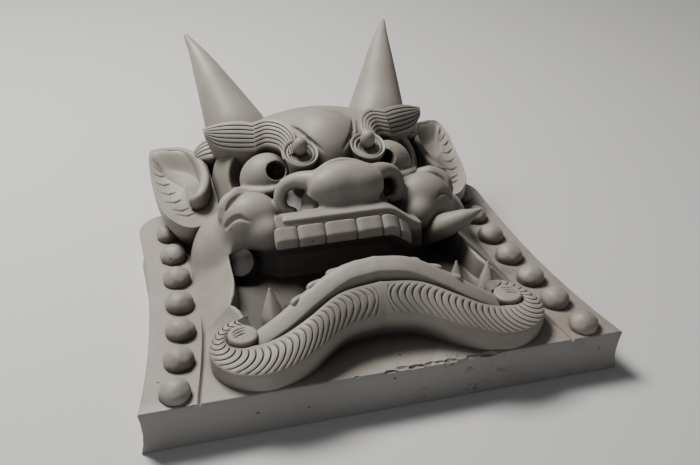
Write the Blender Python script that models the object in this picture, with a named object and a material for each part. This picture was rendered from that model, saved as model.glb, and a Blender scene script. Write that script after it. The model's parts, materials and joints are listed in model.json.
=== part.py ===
"""Onigawara: a ridge-end roof tile of smoked clay, a horned ogre's face on a thick plate.

The tile lies on its back. The plate's bottom edge faces -Y, the horns point towards +Y and
the face looks up, +Z. The plate, its groove, pearls and hollow have sizes in metres. The face
is modelled free hand, as one form: its places are (x, y, h) in shares of the face's width,
y from the plate's bottom edge and h above the plate's front. Its right side is given here,
and the left side mirrors it, but for the tusk that is broken off.
"""
import math

import bmesh
import bpy
import numpy as np
from mathutils import Matrix, Vector

# Plate, in metres
PLATE_WIDTH = 0.420
PLATE_THICKNESS = 0.042
SHOULDER_WIDTH = 0.364
SHOULDER_HEIGHT = 0.290
SHOULDER_RADIUS = 0.030
FLARE_HEIGHT = 0.240
FLARE_POWER = 2.3
CROWN_WIDTH = 0.236
CROWN_RISE = 0.043
SIDE_DISHING = 0.0025
ARRIS = 0.0015

# Groove and pearls along the plate's sides, in metres
GROOVE_INSET = 0.047
GROOVE_WIDTH = 0.004
GROOVE_DEPTH = 0.0025
GROOVE_TOP = 0.195
PEARL_RADIUS = 0.013
PEARL_LIFT = 0.004
PEARL_INSET = 0.027
PEARL_PITCH = 0.0385
PEARL_FIRST = 0.015
PEARL_COUNT = 7

# Hollow in the back, in metres
WALL = 0.026
HOLLOW_DEPTH = 0.026
HEAD_HOLLOW = (0.150, 0.120, 0.056)
HEAD_HOLLOW_PLACE = 0.222
HOLLOW_LAP = 0.004

# Face: its width, and the share of it that all its places are given in
FACE_WIDTH = 0.280
SHARE = FACE_WIDTH / 280
SUNK = -4.0
PUPIL_RADIUS = 9.3
MOUTH_FLOOR = 5.0
HORN_REACH = 392.0
HORN_RISE = 152.0
HORN_SPREAD = 108.0
TOOTH_DEPTH = 18.0
TOOTH_BEVEL = 2.6

BACK = 0.0
FRONT = PLATE_THICKNESS
CLAY = (0.17, 0.155, 0.14, 1.0)
SIDES = ((1, "right"), (-1, "left"))


def clay():
    """The smoked clay: grey-brown, matte, with a slight carbon sheen."""
    material = bpy.data.materials.new("smoked_clay")
    material.use_nodes = True
    shader = material.node_tree.nodes["Principled BSDF"]
    shader.inputs["Base Color"].default_value = CLAY
    shader.inputs["Roughness"].default_value = 0.62
    shader.inputs["Metallic"].default_value = 0.0
    material.diffuse_color = CLAY
    return material


def place(points):
    """Turns shares (x, y, h) into metres."""
    return np.array(points, float) * SHARE + (0.0, 0.0, FRONT)


def curve(points, steps):
    """A smooth curve through the points, with so many steps between each two."""
    knots = np.array(points, float)
    knots = np.vstack([2 * knots[0] - knots[1], knots, 2 * knots[-1] - knots[-2]])
    counts = [steps] * (len(points) - 1) if isinstance(steps, int) else steps
    result = []
    for k, count in enumerate(counts):
        a, b, c, d = knots[k:k + 4]
        for t in np.arange(count) / count:
            result.append(0.5 * (2 * b + (c - a) * t + (2 * a - 5 * b + 4 * c - d) * t * t
                                 + (3 * b - a - 3 * c + d) * t ** 3))
    return np.array(result + [knots[-2]])


class Tile:
    """The empty that carries every form, and the groups that are joined or cut away."""

    def __init__(self):
        for thing in list(bpy.data.objects):
            bpy.data.objects.remove(thing, do_unlink=True)
        self.empty = bpy.data.objects.new("tile", None)
        bpy.context.scene.collection.objects.link(self.empty)
        self.material = clay()
        self.groups = {}
        self.stages = []

    def stage(self, name, operation, solver="EXACT"):
        """Starts a group of forms that one Boolean joins to the tile or cuts from it."""
        self.groups[name] = bpy.data.collections.new(name)
        bpy.context.scene.collection.children.link(self.groups[name])
        self.stages.append((name, operation, solver))
        self.current = name

    def add(self, name, mesh, side=1, helper=True):
        """Links a bmesh as an object of the current group, mirrored for the left side."""
        if side < 0:
            bmesh.ops.scale(mesh, vec=(-1, 1, 1), verts=mesh.verts)
        bmesh.ops.recalc_face_normals(mesh, faces=mesh.faces)
        data = bpy.data.meshes.new(name)
        mesh.to_mesh(data)
        mesh.free()
        data.materials.append(self.material)
        thing = bpy.data.objects.new(name, data)
        thing.parent = self.empty
        if helper:
            thing.hide_render = True
            thing.display_type = "WIRE"
            self.groups[self.current].objects.link(thing)
        else:
            bpy.context.scene.collection.objects.link(thing)
        return thing

    def skin(self, name, rings, side=1, helper=True):
        """A closed form skinned over its rings, with a face over each end."""
        mesh = bmesh.new()
        rows = [[mesh.verts.new(point) for point in ring] for ring in rings]
        for near, far in zip(rows, rows[1:]):
            for k in range(len(near)):
                mesh.faces.new((near[k], near[k - 1], far[k - 1], far[k]))
        for row in (rows[0], rows[-1]):
            mesh.faces.new(row)
        return self.add(name, mesh, side, helper)

    def ball(self, name, centre, radii, segments=(20, 12), turn=(0, 0, 0), side=1):
        """An ellipsoid, in shares, turned by angles in degrees."""
        mesh = bmesh.new()
        turned = Matrix.Rotation(math.radians(turn[2]), 4, "Z")
        turned @= Matrix.Rotation(math.radians(turn[1]), 4, "Y")
        turned @= Matrix.Rotation(math.radians(turn[0]), 4, "X")
        size = Matrix.Diagonal((*(r * SHARE for r in radii), 1))
        bmesh.ops.create_uvsphere(mesh, u_segments=segments[0], v_segments=segments[1], radius=1,
                                  matrix=Matrix.Translation(place(centre)) @ turned @ size)
        return self.add(name, mesh, side)

    def tube(self, name, path, widths, depths, sides=8, up=(0, 0, 1), side=1):
        """A round or flat bar along a path in shares; widths lie across, depths along up."""
        centres = place(path)
        tangents = np.gradient(centres, axis=0)
        angles = 2 * math.pi * (np.arange(sides) + 0.5) / sides
        rings = []
        for centre, tangent, width, depth in zip(centres, tangents, widths, depths):
            along = Vector(tangent).normalized()
            across = along.cross(Vector(up)).normalized()
            rise = across.cross(along)
            rings.append([Vector(centre) + across * (width * SHARE * math.cos(a))
                          + rise * (depth * SHARE * math.sin(a)) for a in angles])
        return self.skin(name, rings, side)


def taper(count, *values):
    """Spreads a few values evenly over so many steps."""
    return np.interp(np.linspace(0, 1, count), np.linspace(0, 1, len(values)), values)


def side_width(y):
    """Half the plate's width at a height, flared towards the bottom corners."""
    flare = max(0.0, 1 - y / FLARE_HEIGHT) ** FLARE_POWER
    return SHOULDER_WIDTH / 2 + (PLATE_WIDTH - SHOULDER_WIDTH) / 2 * flare


def plate_outline(pull, bottom=0.0):
    """The plate's outline from the right bottom corner round to the left one, pulled in."""
    right = [(side_width(y) - pull, y)
             for y in np.linspace(bottom, SHOULDER_HEIGHT - SHOULDER_RADIUS, 8)]
    for angle in np.radians((30, 60, 90)):
        right.append((SHOULDER_WIDTH / 2 - SHOULDER_RADIUS + (SHOULDER_RADIUS - pull) * math.cos(angle),
                      SHOULDER_HEIGHT - SHOULDER_RADIUS + (SHOULDER_RADIUS - pull) * math.sin(angle)))
    for angle in np.radians((4, 20, 38, 58, 78)):
        right.append(((CROWN_WIDTH / 2 - pull) * math.cos(angle),
                      SHOULDER_HEIGHT + (CROWN_RISE - pull) * math.sin(angle)))
    return right + [(-x, y) for x, y in reversed(right)]


def layer(outline, z):
    return [(x, y, z) for x, y in outline]


def make_plate(tile):
    """The plate: dished sides, a flat back and bottom edge, and a soft front arris."""
    levels = ((0, BACK), (SIDE_DISHING, FRONT / 2), (0, FRONT - ARRIS))
    rings = [layer(plate_outline(pull), z) for pull, z in levels]
    rings.append(layer(plate_outline(ARRIS, ARRIS), FRONT))
    return tile.skin("onigawara", rings, helper=False)


def make_base(tile):
    """The domes that the face stands on, and the skirt of skin round the mouth."""
    tile.ball("cheek_dome", (0, 196, -5), (134, 108, 64), (26, 10))
    tile.ball("cranium", (0, 262, 45), (106, 72, 66), (22, 12))
    stations = [(50, 112, 20, 134), (63, 115.6, 25, 139), (91, 121.7, 24, 142), (120, 113, 27, 142),
                (151, 110, 29, 142), (178, 100, 36, 140), (205, 90, 45, 134), (222, 84, 44, 122)]
    for side, name in SIDES:
        rings = []
        for y, rim, h, foot in stations:
            middle = (rim + foot) / 2 + 2
            rings.append(place([(foot, y, SUNK), (foot - 3, y, 2), (middle, y, 0.62 * h),
                                (rim + 6, y, h - 1), (rim, y, h), (rim - 12, y, h - 2),
                                (rim - 16, y, SUNK)]))
        tile.skin("skirt_" + name, rings, side)


def make_hollows(tile):
    """Cuts the mouth, the groove beside the pearls, and the hollow in the back."""
    rim = [(0, 52), (60, 46), (98, 42), (112, 52), (115.6, 63), (115, 76), (121.7, 91), (114.5, 108),
           (112.5, 125), (112, 151), (106, 168), (99, 178), (88, 174), (76, 160), (62, 150), (0, 150)]
    outline = rim + [(-x, y) for x, y in reversed(rim[1:-1])]
    levels = ((0.94, MOUTH_FLOOR), (0.985, 22), (1.0, 34), (1.0, 130))
    middle = 105
    rings = [place([(x * size, middle + (y - middle) * size, h) for x, y in outline])
             for size, h in levels]
    tile.skin("mouth", rings)
    for side, name in SIDES:
        tile.ball("socket_" + name, (66, 226, 88), (36, 25, 38), (14, 10), side=side)
    for side, name in SIDES:
        rings = []
        for y in np.linspace(-0.01, GROOVE_TOP, 6):
            x = side_width(max(y, 0)) - GROOVE_INSET
            half, above = GROOVE_WIDTH / 2, 0.002
            spread = half * (GROOVE_DEPTH + above) / GROOVE_DEPTH
            rings.append([(x, y, FRONT - GROOVE_DEPTH), (x + spread, y, FRONT + above),
                          (x - spread, y, FRONT + above)])
        tile.skin("groove_" + name, rings, side)
    inner = plate_outline(WALL, WALL)
    tile.skin("back_hollow", [layer(inner, z) for z in (-FRONT, HOLLOW_DEPTH)])


def make_muzzle(tile):
    """Upper jaw with its lip, the teeth under it, the nose and its scrolled wings."""
    profile = [(172, SUNK), (158, 14), (134, 42), (116, 54), (119, 70), (122, 73.5), (124, 77.5),
               (129, 80), (142, 83), (160, 82), (182, 74), (190, SUNK)]
    rings = []
    for x, drop in zip((-76, -70, -40, 0, 40, 70, 76), (8, 3, 0, 0, 0, 3, 8)):
        rings.append(place([(x, y + 0.4 * drop, max(h - drop, SUNK)) for y, h in profile]))
    tile.skin("muzzle", rings)
    for side, name in SIDES:
        for k, (left, right) in enumerate(((0.3, 22.5), (23.1, 45), (45.6, 70))):
            mesh = bmesh.new()
            size = Matrix.Diagonal(Vector((right - left, 12, TOOTH_DEPTH, 1 / SHARE)) * SHARE)
            spot = Matrix.Translation(place(((left + right) / 2, 118.4 + k, 62)))
            lean = Matrix.Rotation(math.radians(-39), 4, "X")
            bmesh.ops.create_cube(mesh, size=1, matrix=spot @ lean @ size)
            bmesh.ops.bevel(mesh, geom=mesh.edges[:], offset=TOOTH_BEVEL * SHARE, segments=1,
                            affect="EDGES", profile=0.5)
            tile.add(f"tooth_{name}_{k + 1}", mesh, side)
    tile.ball("nose", (0, 155, 92), (32, 19, 19), (16, 10))
    tile.ball("nose_bridge", (0, 182, 90), (20, 20, 15), (10, 6))
    for side, name in SIDES:
        tile.ball("wing_" + name, (43, 166, 76), (15, 12, 16), (12, 8), side=side)
        path = curve([(24, 168, 92), (35, 177, 96), (49, 178, 93), (61, 170, 85), (63, 162, 74),
                      (57, 157, 65), (46, 158, 62)], (1, 1, 2, 2, 2, 1))
        width = taper(len(path), 4, 7, 7.5, 7.5, 7, 5.5, 3)
        tile.tube("nostril_" + name, path, width, width, 7, (0.3, -0.8, 0.5), side)


def make_cheeks(tile):
    """Round cheek muscles with the knob at the mouth's corner, and the bulging eyes."""
    for side, name in SIDES:
        tile.ball("cheek_" + name, (83, 172, 42), (30, 32, 27), (16, 10), side=side)
        tile.ball("cheekbone_" + name, (100, 190, 16), (34, 38, 33), (12, 7), side=side)
        tile.ball("corner_" + name, (73, 149, 43), (17, 16, 19), (12, 7), side=side)
        tile.ball("eye_" + name, (58, 222, 60), (31, 22, 27), (14, 9), side=side)


def make_lower_jaw(tile):
    """Lower lip with a row of worn teeth along its far edge, and the fangs beside it."""
    half = curve([(0, 70, 65), (30, 67, 62), (60, 58, 50), (85, 50, 36), (105, 47, 24)], 2)
    crest = [(-x, y, h) for x, y, h in half[:0:-1]] + [tuple(point) for point in half]
    rings = []
    for x, y, h in crest:
        rings.append(place([(x, y - 15, SUNK), (x, y - 15, h - 14), (x, y - 12, h - 5),
                            (x, y - 6, h - 0.5), (x, y, h), (x, y + 2.5, h - 7), (x, y, SUNK)]))
    tile.skin("lower_lip", rings)
    for side, name in SIDES:
        for k, (x, y, h) in enumerate(((11, 71, 59), (32, 69, 56), (51, 63, 49))):
            tile.ball(f"lower_tooth_{name}_{k + 1}", (x, y, h), (11, 5, 8), (8, 5), side=side)
        cone(tile, "fang_" + name, (85, 77, 0), (85, 90, 29), 12, side)
        cone(tile, "back_fang_" + name, (111, 73, 2), (116, 84, 29), 11, side)
    bent = curve([(94, 138, 14), (102, 131, 31), (113, 130, 46), (125, 133.5, 57)], 3)
    tile.tube("tusk", bent, taper(len(bent), 14, 14, 9, 1.5), taper(len(bent), 12, 11, 8, 1.5), 8,
              (0.2, -0.7, 0.7))
    stub = curve([(94, 170, 12), (97, 158, 22), (98, 147, 29)], 1)
    tile.tube("broken_tusk", stub, taper(3, 14, 13.5, 12), taper(3, 13, 13, 12), 12, side=-1)


def cone(tile, name, base, tip, radius, side):
    path = curve([base, tip], 3)
    width = taper(len(path), radius, 0.75 * radius, 0.42 * radius, 0.8)
    tile.tube(name, path, width, width, 7, (0, -1, 0), side)


def make_beard(tile):
    """The curled beard: combed strands from the parting out, round a button on each side."""
    inner = [(0, 52, 54), (35, 49, 50), (65, 35, 41), (86, 31, 31), (101, 35, 25), (112, 41, 22),
             (122, 43, 21), (129, 49, 20), (130, 58, 20), (122, 66, 20), (108, 66, 21)]
    outer = [(0, 33, 33), (33, 28, 31), (68, 9, 24.5), (92, 1.5, 19), (112, 1.5, 17), (130, 8, 17),
             (143, 22, 17), (147, 40, 17), (140, 60, 17), (127, 73, 18), (108, 77, 19)]
    feet = [(0, 50), (33, 43), (68, 14), (92, 4), (112, 2), (129, 9), (142, 22), (146, 40),
            (139, 59), (126, 71), (108, 75)]
    strands = (8, 8, 5, 3, 2, 2, 2, 2, 2, 2)
    columns = [2 * count for count in strands]
    tops, edges = curve(inner, columns), curve(outer, columns)
    foots = curve([(x, y, SUNK) for x, y in feet], columns)
    along = np.gradient((tops + edges) / 2, axis=0)
    along /= np.linalg.norm(along, axis=1)[:, None]
    rings = []
    for k, (top, edge, foot, way) in enumerate(zip(tops, edges, foots, along)):
        groove = np.array((0, 0, -1.7 if k % 2 else 0.3))
        bow = -4.5 * way * min(1, k / 6)
        rise = np.array((0, 0, 2.2))
        inward = 3 * (top - edge) * (1, 1, 0) / np.linalg.norm(top - edge)
        ring = [foot, edge + 0.3 * groove,
                0.5 * edge + 0.5 * top + bow + rise + groove,
                0.06 * edge + 0.94 * top + 0.5 * groove,
                top + inward - (0, 0, 6), (top + inward) * (1, 1, 0) + (0, 0, SUNK)]
        rings.append(ring)
    left = [[(-x, y, h) for x, y, h in ring] for ring in rings[:0:-1]]
    tile.skin("beard", [place(ring) for ring in left + rings])
    for side, name in SIDES:
        path = [(117, 54, SUNK), (117, 54, 21), (117, 54, 25), (117, 54, 27)]
        width = (12.5, 12.5, 11, 7)
        tile.tube("button_" + name, path, width, width, 9, (0, 1, 0), side)


def combed(tile, name, upper, lower, under, strands, steps, side):
    """A lock of hair: strands combed from its upper to its lower edge, smooth underneath."""
    tops, edges, bellies = (curve(points, steps) for points in (upper, lower, under))
    rings = []
    for top, edge, belly in zip(tops, edges, bellies):
        width = np.linalg.norm(edge - top)
        depth = min(1.9, 0.16 * width)
        ring = []
        for k in range(2 * strands + 1):
            v = k / (2 * strands)
            crown = np.array((0, 0, 0.16 * width * 4 * v * (1 - v) - (depth if k % 2 == 0 else 0)))
            ring.append(top + (edge - top) * v + crown)
        ring += [belly, belly + 0.8 * (top - edge)]
        rings.append(place(ring))
    return tile.skin(name, rings, side)


def make_brows(tile):
    """Each brow is a combed tail, and an arch that winds round and under a knob."""
    for side, name in SIDES:
        combed(tile, "brow_tail_" + name,
               [(56, 249, 111), (76, 260, 112), (94, 268, 108), (111, 272, 102)],
               [(60, 236, 94), (84, 246, 87), (101, 259, 89), (112, 268, 96)],
               [(62, 248, 56), (86, 264, 52), (100, 276, 66), (110, 274, 92)], 6, (1, 2, 2), side)
        combed(tile, "brow_arch_" + name,
               [(64, 248, 110), (49, 248, 114), (38, 238, 114), (35, 222, 113), (40, 209, 111),
                (40, 198, 110), (34, 190, 109), (27, 192, 109), (23, 199, 109)],
               [(68, 236, 94), (56, 236, 98), (48, 223, 100), (46, 212, 101), (47, 201, 103),
                (42, 189, 104), (31, 184, 104), (21, 187, 104), (17, 197, 105)],
               [(66, 246, 74), (54, 244, 74), (42, 232, 78), (38, 220, 80), (37, 206, 82),
                (34, 198, 82), (30, 194, 82), (26, 196, 82), (24, 200, 82)], 6, (1, 1, 1, 1, 1, 1, 1, 1), side)
        path = [(33, 199, 60), (32.5, 196, 86), (32, 196, 104)]
        tile.tube("brow_scroll_" + name, path, (9, 12, 14.5), (9, 11, 13.5), 11,
                  (0, 1, 0), side)
        tile.ball("brow_knob_" + name, (32.5, 199, 111), (7.5, 7.5, 9), (10, 6), side=side)
        combed(tile, "temple_lock_" + name,
               [(88, 296, 66), (102, 291, 72), (117, 285, 71), (126, 281, 65)],
               [(90, 276, 68), (104, 272, 70), (117, 270, 65), (127, 274, 59)],
               [(92, 282, 30), (104, 280, 30), (114, 278, 34), (124, 278, 50)], 3, 1, side)
    tile.ball("forehead", (0, 240, 60), (40, 60, 62), (14, 8))


def make_horns(tile):
    root = np.array((66, 286, 62))
    reach = np.array((HORN_SPREAD, HORN_REACH, HORN_RISE)) - root
    for side, name in SIDES:
        path = curve([root, root + reach * (0.21, 0.16, 0.26), root + reach * (0.71, 0.72, 0.78),
                      root + reach], (1, 2, 2))
        width = taper(len(path), 34, 30, 22, 15, 8.5, 2.6)
        tile.tube("horn_" + name, path, width, width, 12, (0, 0, 1), side)


def make_ears(tile):
    """Leaf-shaped ears, hollowed, with a thick rim that curls over on the inner side."""
    rim = [(160, 325, 58), (169, 300, 54), (173, 272, 48), (171, 245, 42), (160, 219, 35),
           (138, 200, 29), (116, 204, 30), (103, 226, 36), (99, 250, 46), (102, 272, 56),
           (112, 290, 62), (135, 309, 63)]
    edge = curve(rim + rim[:1], (1, 1, 1, 2, 2, 2, 2, 1, 1, 1, 1, 2))[:-1]
    centre = np.array((134, 258, 47))
    foot = [(centre[0] - 6 + 0.66 * (x - centre[0]), centre[1] + 4 + 0.72 * (y - centre[1]), SUNK)
            for x, y, h in edge]
    levels = ((1.0, -4), (0.97, 1.5), (0.86, -1), (0.66, -11), (0.3, -17))
    rings = [place(foot)]
    for size, rise in levels:
        rings.append(place(centre + (edge - centre) * size + (0, 0, rise)))
    for side, name in SIDES:
        tile.skin("ear_" + name, rings, side)
        path = curve([(112, 292, 60), (107, 268, 62), (110, 240, 58), (116, 220, 54),
                      (124, 212, 50), (131, 217, 47)], (1, 2, 2, 1, 1))
        width = taper(len(path), 2, 6, 8, 8, 6, 3)
        tile.tube("ear_curl_" + name, path, width, taper(len(path), 3, 8, 10, 9, 7, 3), 6,
                  side=side)


def make_pearls(tile):
    """Pearls in a row along each side, a little more than half round."""
    for side, name in SIDES:
        for k in range(PEARL_COUNT):
            y = PEARL_FIRST + k * PEARL_PITCH
            mesh = bmesh.new()
            spot = Matrix.Translation((side_width(y) - PEARL_INSET, y, FRONT + PEARL_LIFT))
            bmesh.ops.create_uvsphere(mesh, u_segments=9, v_segments=6, radius=PEARL_RADIUS,
                                      matrix=spot)
            tile.add(f"pearl_{name}_{k + 1}", mesh, side)


def gouge(tile, name, path, widths, depths, up, side=1):
    """A tapering V cut: a flat bar of four sides, sunk to its corner in the surface."""
    line = curve(path, 2)
    tile.tube(name, line, taper(len(line), *widths), taper(len(line), *depths), 4, up, side)


def make_cuts(tile):
    """The hollow behind the face, the bored pupils and the knife's creases."""
    mesh = bmesh.new()
    size = Matrix.Diagonal((HEAD_HOLLOW[0] / 2, HEAD_HOLLOW[1] / 2, HEAD_HOLLOW[2], 1))
    spot = Matrix.Translation((0, HEAD_HOLLOW_PLACE, HOLLOW_DEPTH - HOLLOW_LAP))
    bmesh.ops.create_uvsphere(mesh, u_segments=16, v_segments=8, radius=1, matrix=spot @ size)
    tile.add("head_hollow", mesh)
    for side, name in SIDES:
        path = [(51, 217, 62), (51, 216.4, 70), (50.8, 214, 100)]
        width = (PUPIL_RADIUS,) * 3
        tile.tube("pupil_" + name, path, width, width, 12, (0, 1, 0), side)
        gouge(tile, "cheek_slit_" + name, [(104, 207, 41), (88, 215, 53), (75, 207, 61)],
              (0.6, 2.6, 0.6), (1, 5, 1), (0.3, 0, 1), side)
        gouge(tile, "cheek_hook_" + name, [(114, 172, 35), (104, 184, 46), (95, 169, 61), (90, 155, 64)],
              (0.6, 3.4, 3.4, 0.8), (1, 6, 6, 1.5), (0.4, -0.2, 1), side)
    gouge(tile, "forehead_gouge", [(-31, 246, 121), (-22, 226, 118), (-9, 200, 106)],
          (0.6, 3.2, 0.6), (1, 6, 1), (0, 0, 1))
    gouge(tile, "forehead_crease", [(24, 262, 121), (27, 238, 119), (21, 208, 108)],
          (0.6, 2.0, 0.6), (1, 4, 1), (0, 0, 1))


def main():
    tile = Tile()
    tile.stage("base", "UNION")
    body = make_plate(tile)
    make_base(tile)
    tile.stage("hollows", "DIFFERENCE")
    make_hollows(tile)
    tile.stage("features", "UNION", "MANIFOLD")
    make_muzzle(tile)
    make_cheeks(tile)
    make_lower_jaw(tile)
    make_beard(tile)
    make_brows(tile)
    make_horns(tile)
    make_ears(tile)
    make_pearls(tile)
    tile.stage("cuts", "DIFFERENCE", "MANIFOLD")
    make_cuts(tile)
    for name, operation, solver in tile.stages:
        boolean = body.modifiers.new(name, "BOOLEAN")
        boolean.operation = operation
        boolean.operand_type = "COLLECTION"
        boolean.collection = tile.groups[name]
        boolean.solver = solver
    reach = max(vertex.co.y for thing in tile.groups["features"].objects
                for vertex in thing.data.vertices)
    tile.empty.location = (0, -reach / 2, 0)
    body.data.shade_smooth()
    body.data.set_sharp_from_angle(angle=math.radians(35))


main()
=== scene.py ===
# %% [markdown]
# # An onigawara, the roof tile that closes the end of a ridge
# The tile is one body of fired clay: a horned ogre's face in high relief on a thick plate.
# A maker presses lumps of clay together for the face, smooths the joins with wet fingers, and
# cuts hair, creases and eyes with a knife while the clay is leather hard. This lesson follows
# the maker: pressed forms first, then combed and cut ones, then the smoked finish.

# %% Load the CAD model as a fixed frame
import json
import math

import bmesh
import bpy
import numpy as np
from mathutils import Euler, Matrix, Vector

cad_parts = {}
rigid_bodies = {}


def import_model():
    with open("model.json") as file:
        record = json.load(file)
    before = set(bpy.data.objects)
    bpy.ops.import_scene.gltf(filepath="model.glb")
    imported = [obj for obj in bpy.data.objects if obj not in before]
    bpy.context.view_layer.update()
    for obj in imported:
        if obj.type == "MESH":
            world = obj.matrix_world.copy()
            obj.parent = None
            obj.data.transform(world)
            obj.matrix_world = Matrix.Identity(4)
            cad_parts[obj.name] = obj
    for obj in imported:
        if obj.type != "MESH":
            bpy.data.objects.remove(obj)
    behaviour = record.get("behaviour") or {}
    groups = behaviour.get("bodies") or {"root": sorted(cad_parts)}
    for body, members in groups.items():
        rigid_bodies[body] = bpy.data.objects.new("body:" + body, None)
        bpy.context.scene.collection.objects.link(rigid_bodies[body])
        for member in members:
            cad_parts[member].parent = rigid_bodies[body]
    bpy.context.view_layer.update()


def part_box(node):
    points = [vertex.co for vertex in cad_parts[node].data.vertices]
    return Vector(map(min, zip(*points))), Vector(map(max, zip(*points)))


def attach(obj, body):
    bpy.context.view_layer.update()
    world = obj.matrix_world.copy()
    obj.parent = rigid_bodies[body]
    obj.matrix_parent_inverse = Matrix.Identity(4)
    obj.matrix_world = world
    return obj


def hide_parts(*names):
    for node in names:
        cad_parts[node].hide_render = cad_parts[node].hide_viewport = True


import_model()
low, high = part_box("onigawara")
BOTTOM, FRONT = low.y, 0.042
print("CAD box in mm:", [round(1000 * (b - a)) for a, b in zip(low, high)])

# %% [markdown]
# Places on the face are easier to read in millimetres: x across, y up from the plate's bottom
# edge, and h out of the plate's front. Short helpers turn such places into metres, draw a
# smooth line through a few of them, and make meshes of rings of points. Most lines are given
# for the right side and mirrored.

# %% Places, smooth lines and rings


def place(points):
    """Turns (x, y, h) in millimetres into metres in the frame."""
    return np.asarray(points, float) * 0.001 + (0.0, BOTTOM, FRONT)


def line(points, steps):
    """A smooth line through the points, with so many steps between each two."""
    knots = np.array(points, float)
    knots = np.vstack([2 * knots[0] - knots[1], knots, 2 * knots[-1] - knots[-2]])
    result = []
    for k in range(len(points) - 1):
        a, b, c, d = knots[k:k + 4]
        for t in np.arange(steps) / steps:
            result.append(0.5 * (2 * b + (c - a) * t + (2 * a - 5 * b + 4 * c - d) * t * t
                                 + (3 * b - a - 3 * c + d) * t ** 3))
    return np.array(result + [knots[-2]])


def spread(count, *values):
    """Spreads a few values evenly over so many steps."""
    return np.interp(np.linspace(0, 1, count), np.linspace(0, 1, len(values)), values)


def ease(value, start=0.0, end=1.0):
    """0 before start, 1 after end, and a soft slope between them."""
    t = np.clip((np.asarray(value, float) - start) / (end - start), 0, 1)
    return t * t * (3 - 2 * t)


def round_angles(count):
    """So many angles, evenly round a circle."""
    return 2 * math.pi * np.arange(count) / count


def ball_rings(around, rows, power=2.0):
    """Rings of points on a ball of radius 1, without its poles; more power makes it squarer."""
    angles = round_angles(around)
    for b in np.linspace(-0.5, 0.5, rows + 1)[1:-1] * math.pi:
        shape = np.array([np.cos(b) * np.cos(angles), np.cos(b) * np.sin(angles),
                          np.full(around, math.sin(b))])
        yield (shape / (np.abs(shape) ** power).sum(axis=0) ** (1 / power)).T


def skinned(mesh, rings):
    """Joins rings of points in millimetres with faces, and closes both ends."""
    rows = [[mesh.verts.new(point) for point in place(ring)] for ring in rings]
    for near, far in zip(rows, rows[1:]):
        for k in range(len(near)):
            mesh.faces.new((near[k], near[k - 1], far[k - 1], far[k]))
    for row in (rows[0], rows[-1]):
        mesh.faces.new(row)


def object_of(name, mesh, collection):
    """Turns a bmesh into an object of a collection, with its faces outwards."""
    bmesh.ops.recalc_face_normals(mesh, faces=mesh.faces)
    data = bpy.data.meshes.new(name)
    mesh.to_mesh(data)
    mesh.free()
    thing = bpy.data.objects.new(name, data)
    collection.objects.link(thing)
    return thing


def applied(thing):
    """Keeps what an object's modifiers make as its plain mesh."""
    mesh = bpy.data.meshes.new_from_object(thing.evaluated_get(
        bpy.context.evaluated_depsgraph_get()))
    thing.modifiers.clear()
    thing.data = mesh
    return mesh


print("a line of", len(line([(0, 0, 0), (10, 0, 0), (20, 5, 0)], 8)), "points")

# %% [markdown]
# The finish comes before the pieces, so that each piece gets its material when it is made.
# Kawara clay is smoked in the kiln, which leaves a warm grey skin, a little uneven, and paler on
# worn edges. The cuts are painted darker and browner, partly as dust where hands don't rub it and
# partly as painted shade, and deep hollows get painted shade near black. Three node groups hold
# what every material here shares: the tone, the wear with its dust and painted shade, and the
# grain.

# %% Node helpers


def node(tree, kind, inputs=None, **settings):
    """Adds a node, sets it, and fills its inputs with values or with other nodes' outputs."""
    made = tree.nodes.new(kind)
    for key, value in settings.items():
        setattr(made, key, value)
    for key, value in (inputs or {}).items():
        if isinstance(value, bpy.types.NodeSocket):
            tree.links.new(value, made.inputs[key])
        else:
            made.inputs[key].default_value = value
    return made


def new_group(name, takes, gives):
    """An empty shader node group with named inputs (name, kind, value) and outputs."""
    tree = bpy.data.node_groups.new(name, "ShaderNodeTree")
    for label, kind, value in takes:
        socket = tree.interface.new_socket(label, in_out="INPUT", socket_type=kind)
        socket.default_value = value
    for label, kind in gives:
        tree.interface.new_socket(label, in_out="OUTPUT", socket_type=kind)
    return tree, tree.nodes.new("NodeGroupInput").outputs, tree.nodes.new("NodeGroupOutput")


def mask_of(tree, value, start, end):
    """A mask that rises from 0 to 1 while value goes from start to end."""
    made = node(tree, "ShaderNodeMapRange", {"Value": value, "From Min": start, "From Max": end},
                interpolation_type="SMOOTHSTEP")
    return made.outputs["Result"]


def mixed(tree, share, first, second):
    """Mixes two colours."""
    made = node(tree, "ShaderNodeMix", {"Factor": share}, data_type="RGBA")
    for socket, value in ((made.inputs[6], first), (made.inputs[7], second)):
        if isinstance(value, bpy.types.NodeSocket):
            tree.links.new(value, socket)
        else:
            socket.default_value = (*value, 1.0)
    return made.outputs[2]


def count_up(tree, operation, *values):
    """A Math node over values or sockets."""
    made = node(tree, "ShaderNodeMath", dict(enumerate(values)), operation=operation)
    return made.outputs[0]


print("node helpers ready")

# %% Group: the kiln's uneven tone
tone_tree, tone_in, tone_out = new_group(
    "kiln_tone", [("Size", "NodeSocketFloat", 14.0)],
    [("Tone", "NodeSocketColor"), ("Cloud", "NodeSocketFloat")])
spot = node(tone_tree, "ShaderNodeTexCoord").outputs["Object"]
clouds = node(tone_tree, "ShaderNodeTexNoise",
              {"Vector": spot, "Scale": tone_in["Size"], "Detail": 5.0, "Roughness": 0.62})
specks = node(tone_tree, "ShaderNodeTexNoise",
              {"Vector": spot, "Scale": 230.0, "Detail": 3.0, "Roughness": 0.7})
cloud = mask_of(tone_tree, clouds.outputs["Fac"], 0.32, 0.68)
warm = mixed(tone_tree, cloud, (0.205, 0.183, 0.160), (0.262, 0.240, 0.215))
speck = mask_of(tone_tree, specks.outputs["Fac"], 0.60, 0.74)
tone_tree.links.new(mixed(tone_tree, count_up(tone_tree, "MULTIPLY", speck, 0.45), warm,
                          (0.155, 0.135, 0.115)), tone_out.inputs["Tone"])
tone_tree.links.new(cloud, tone_out.inputs["Cloud"])
print("group", tone_tree.name)
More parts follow.
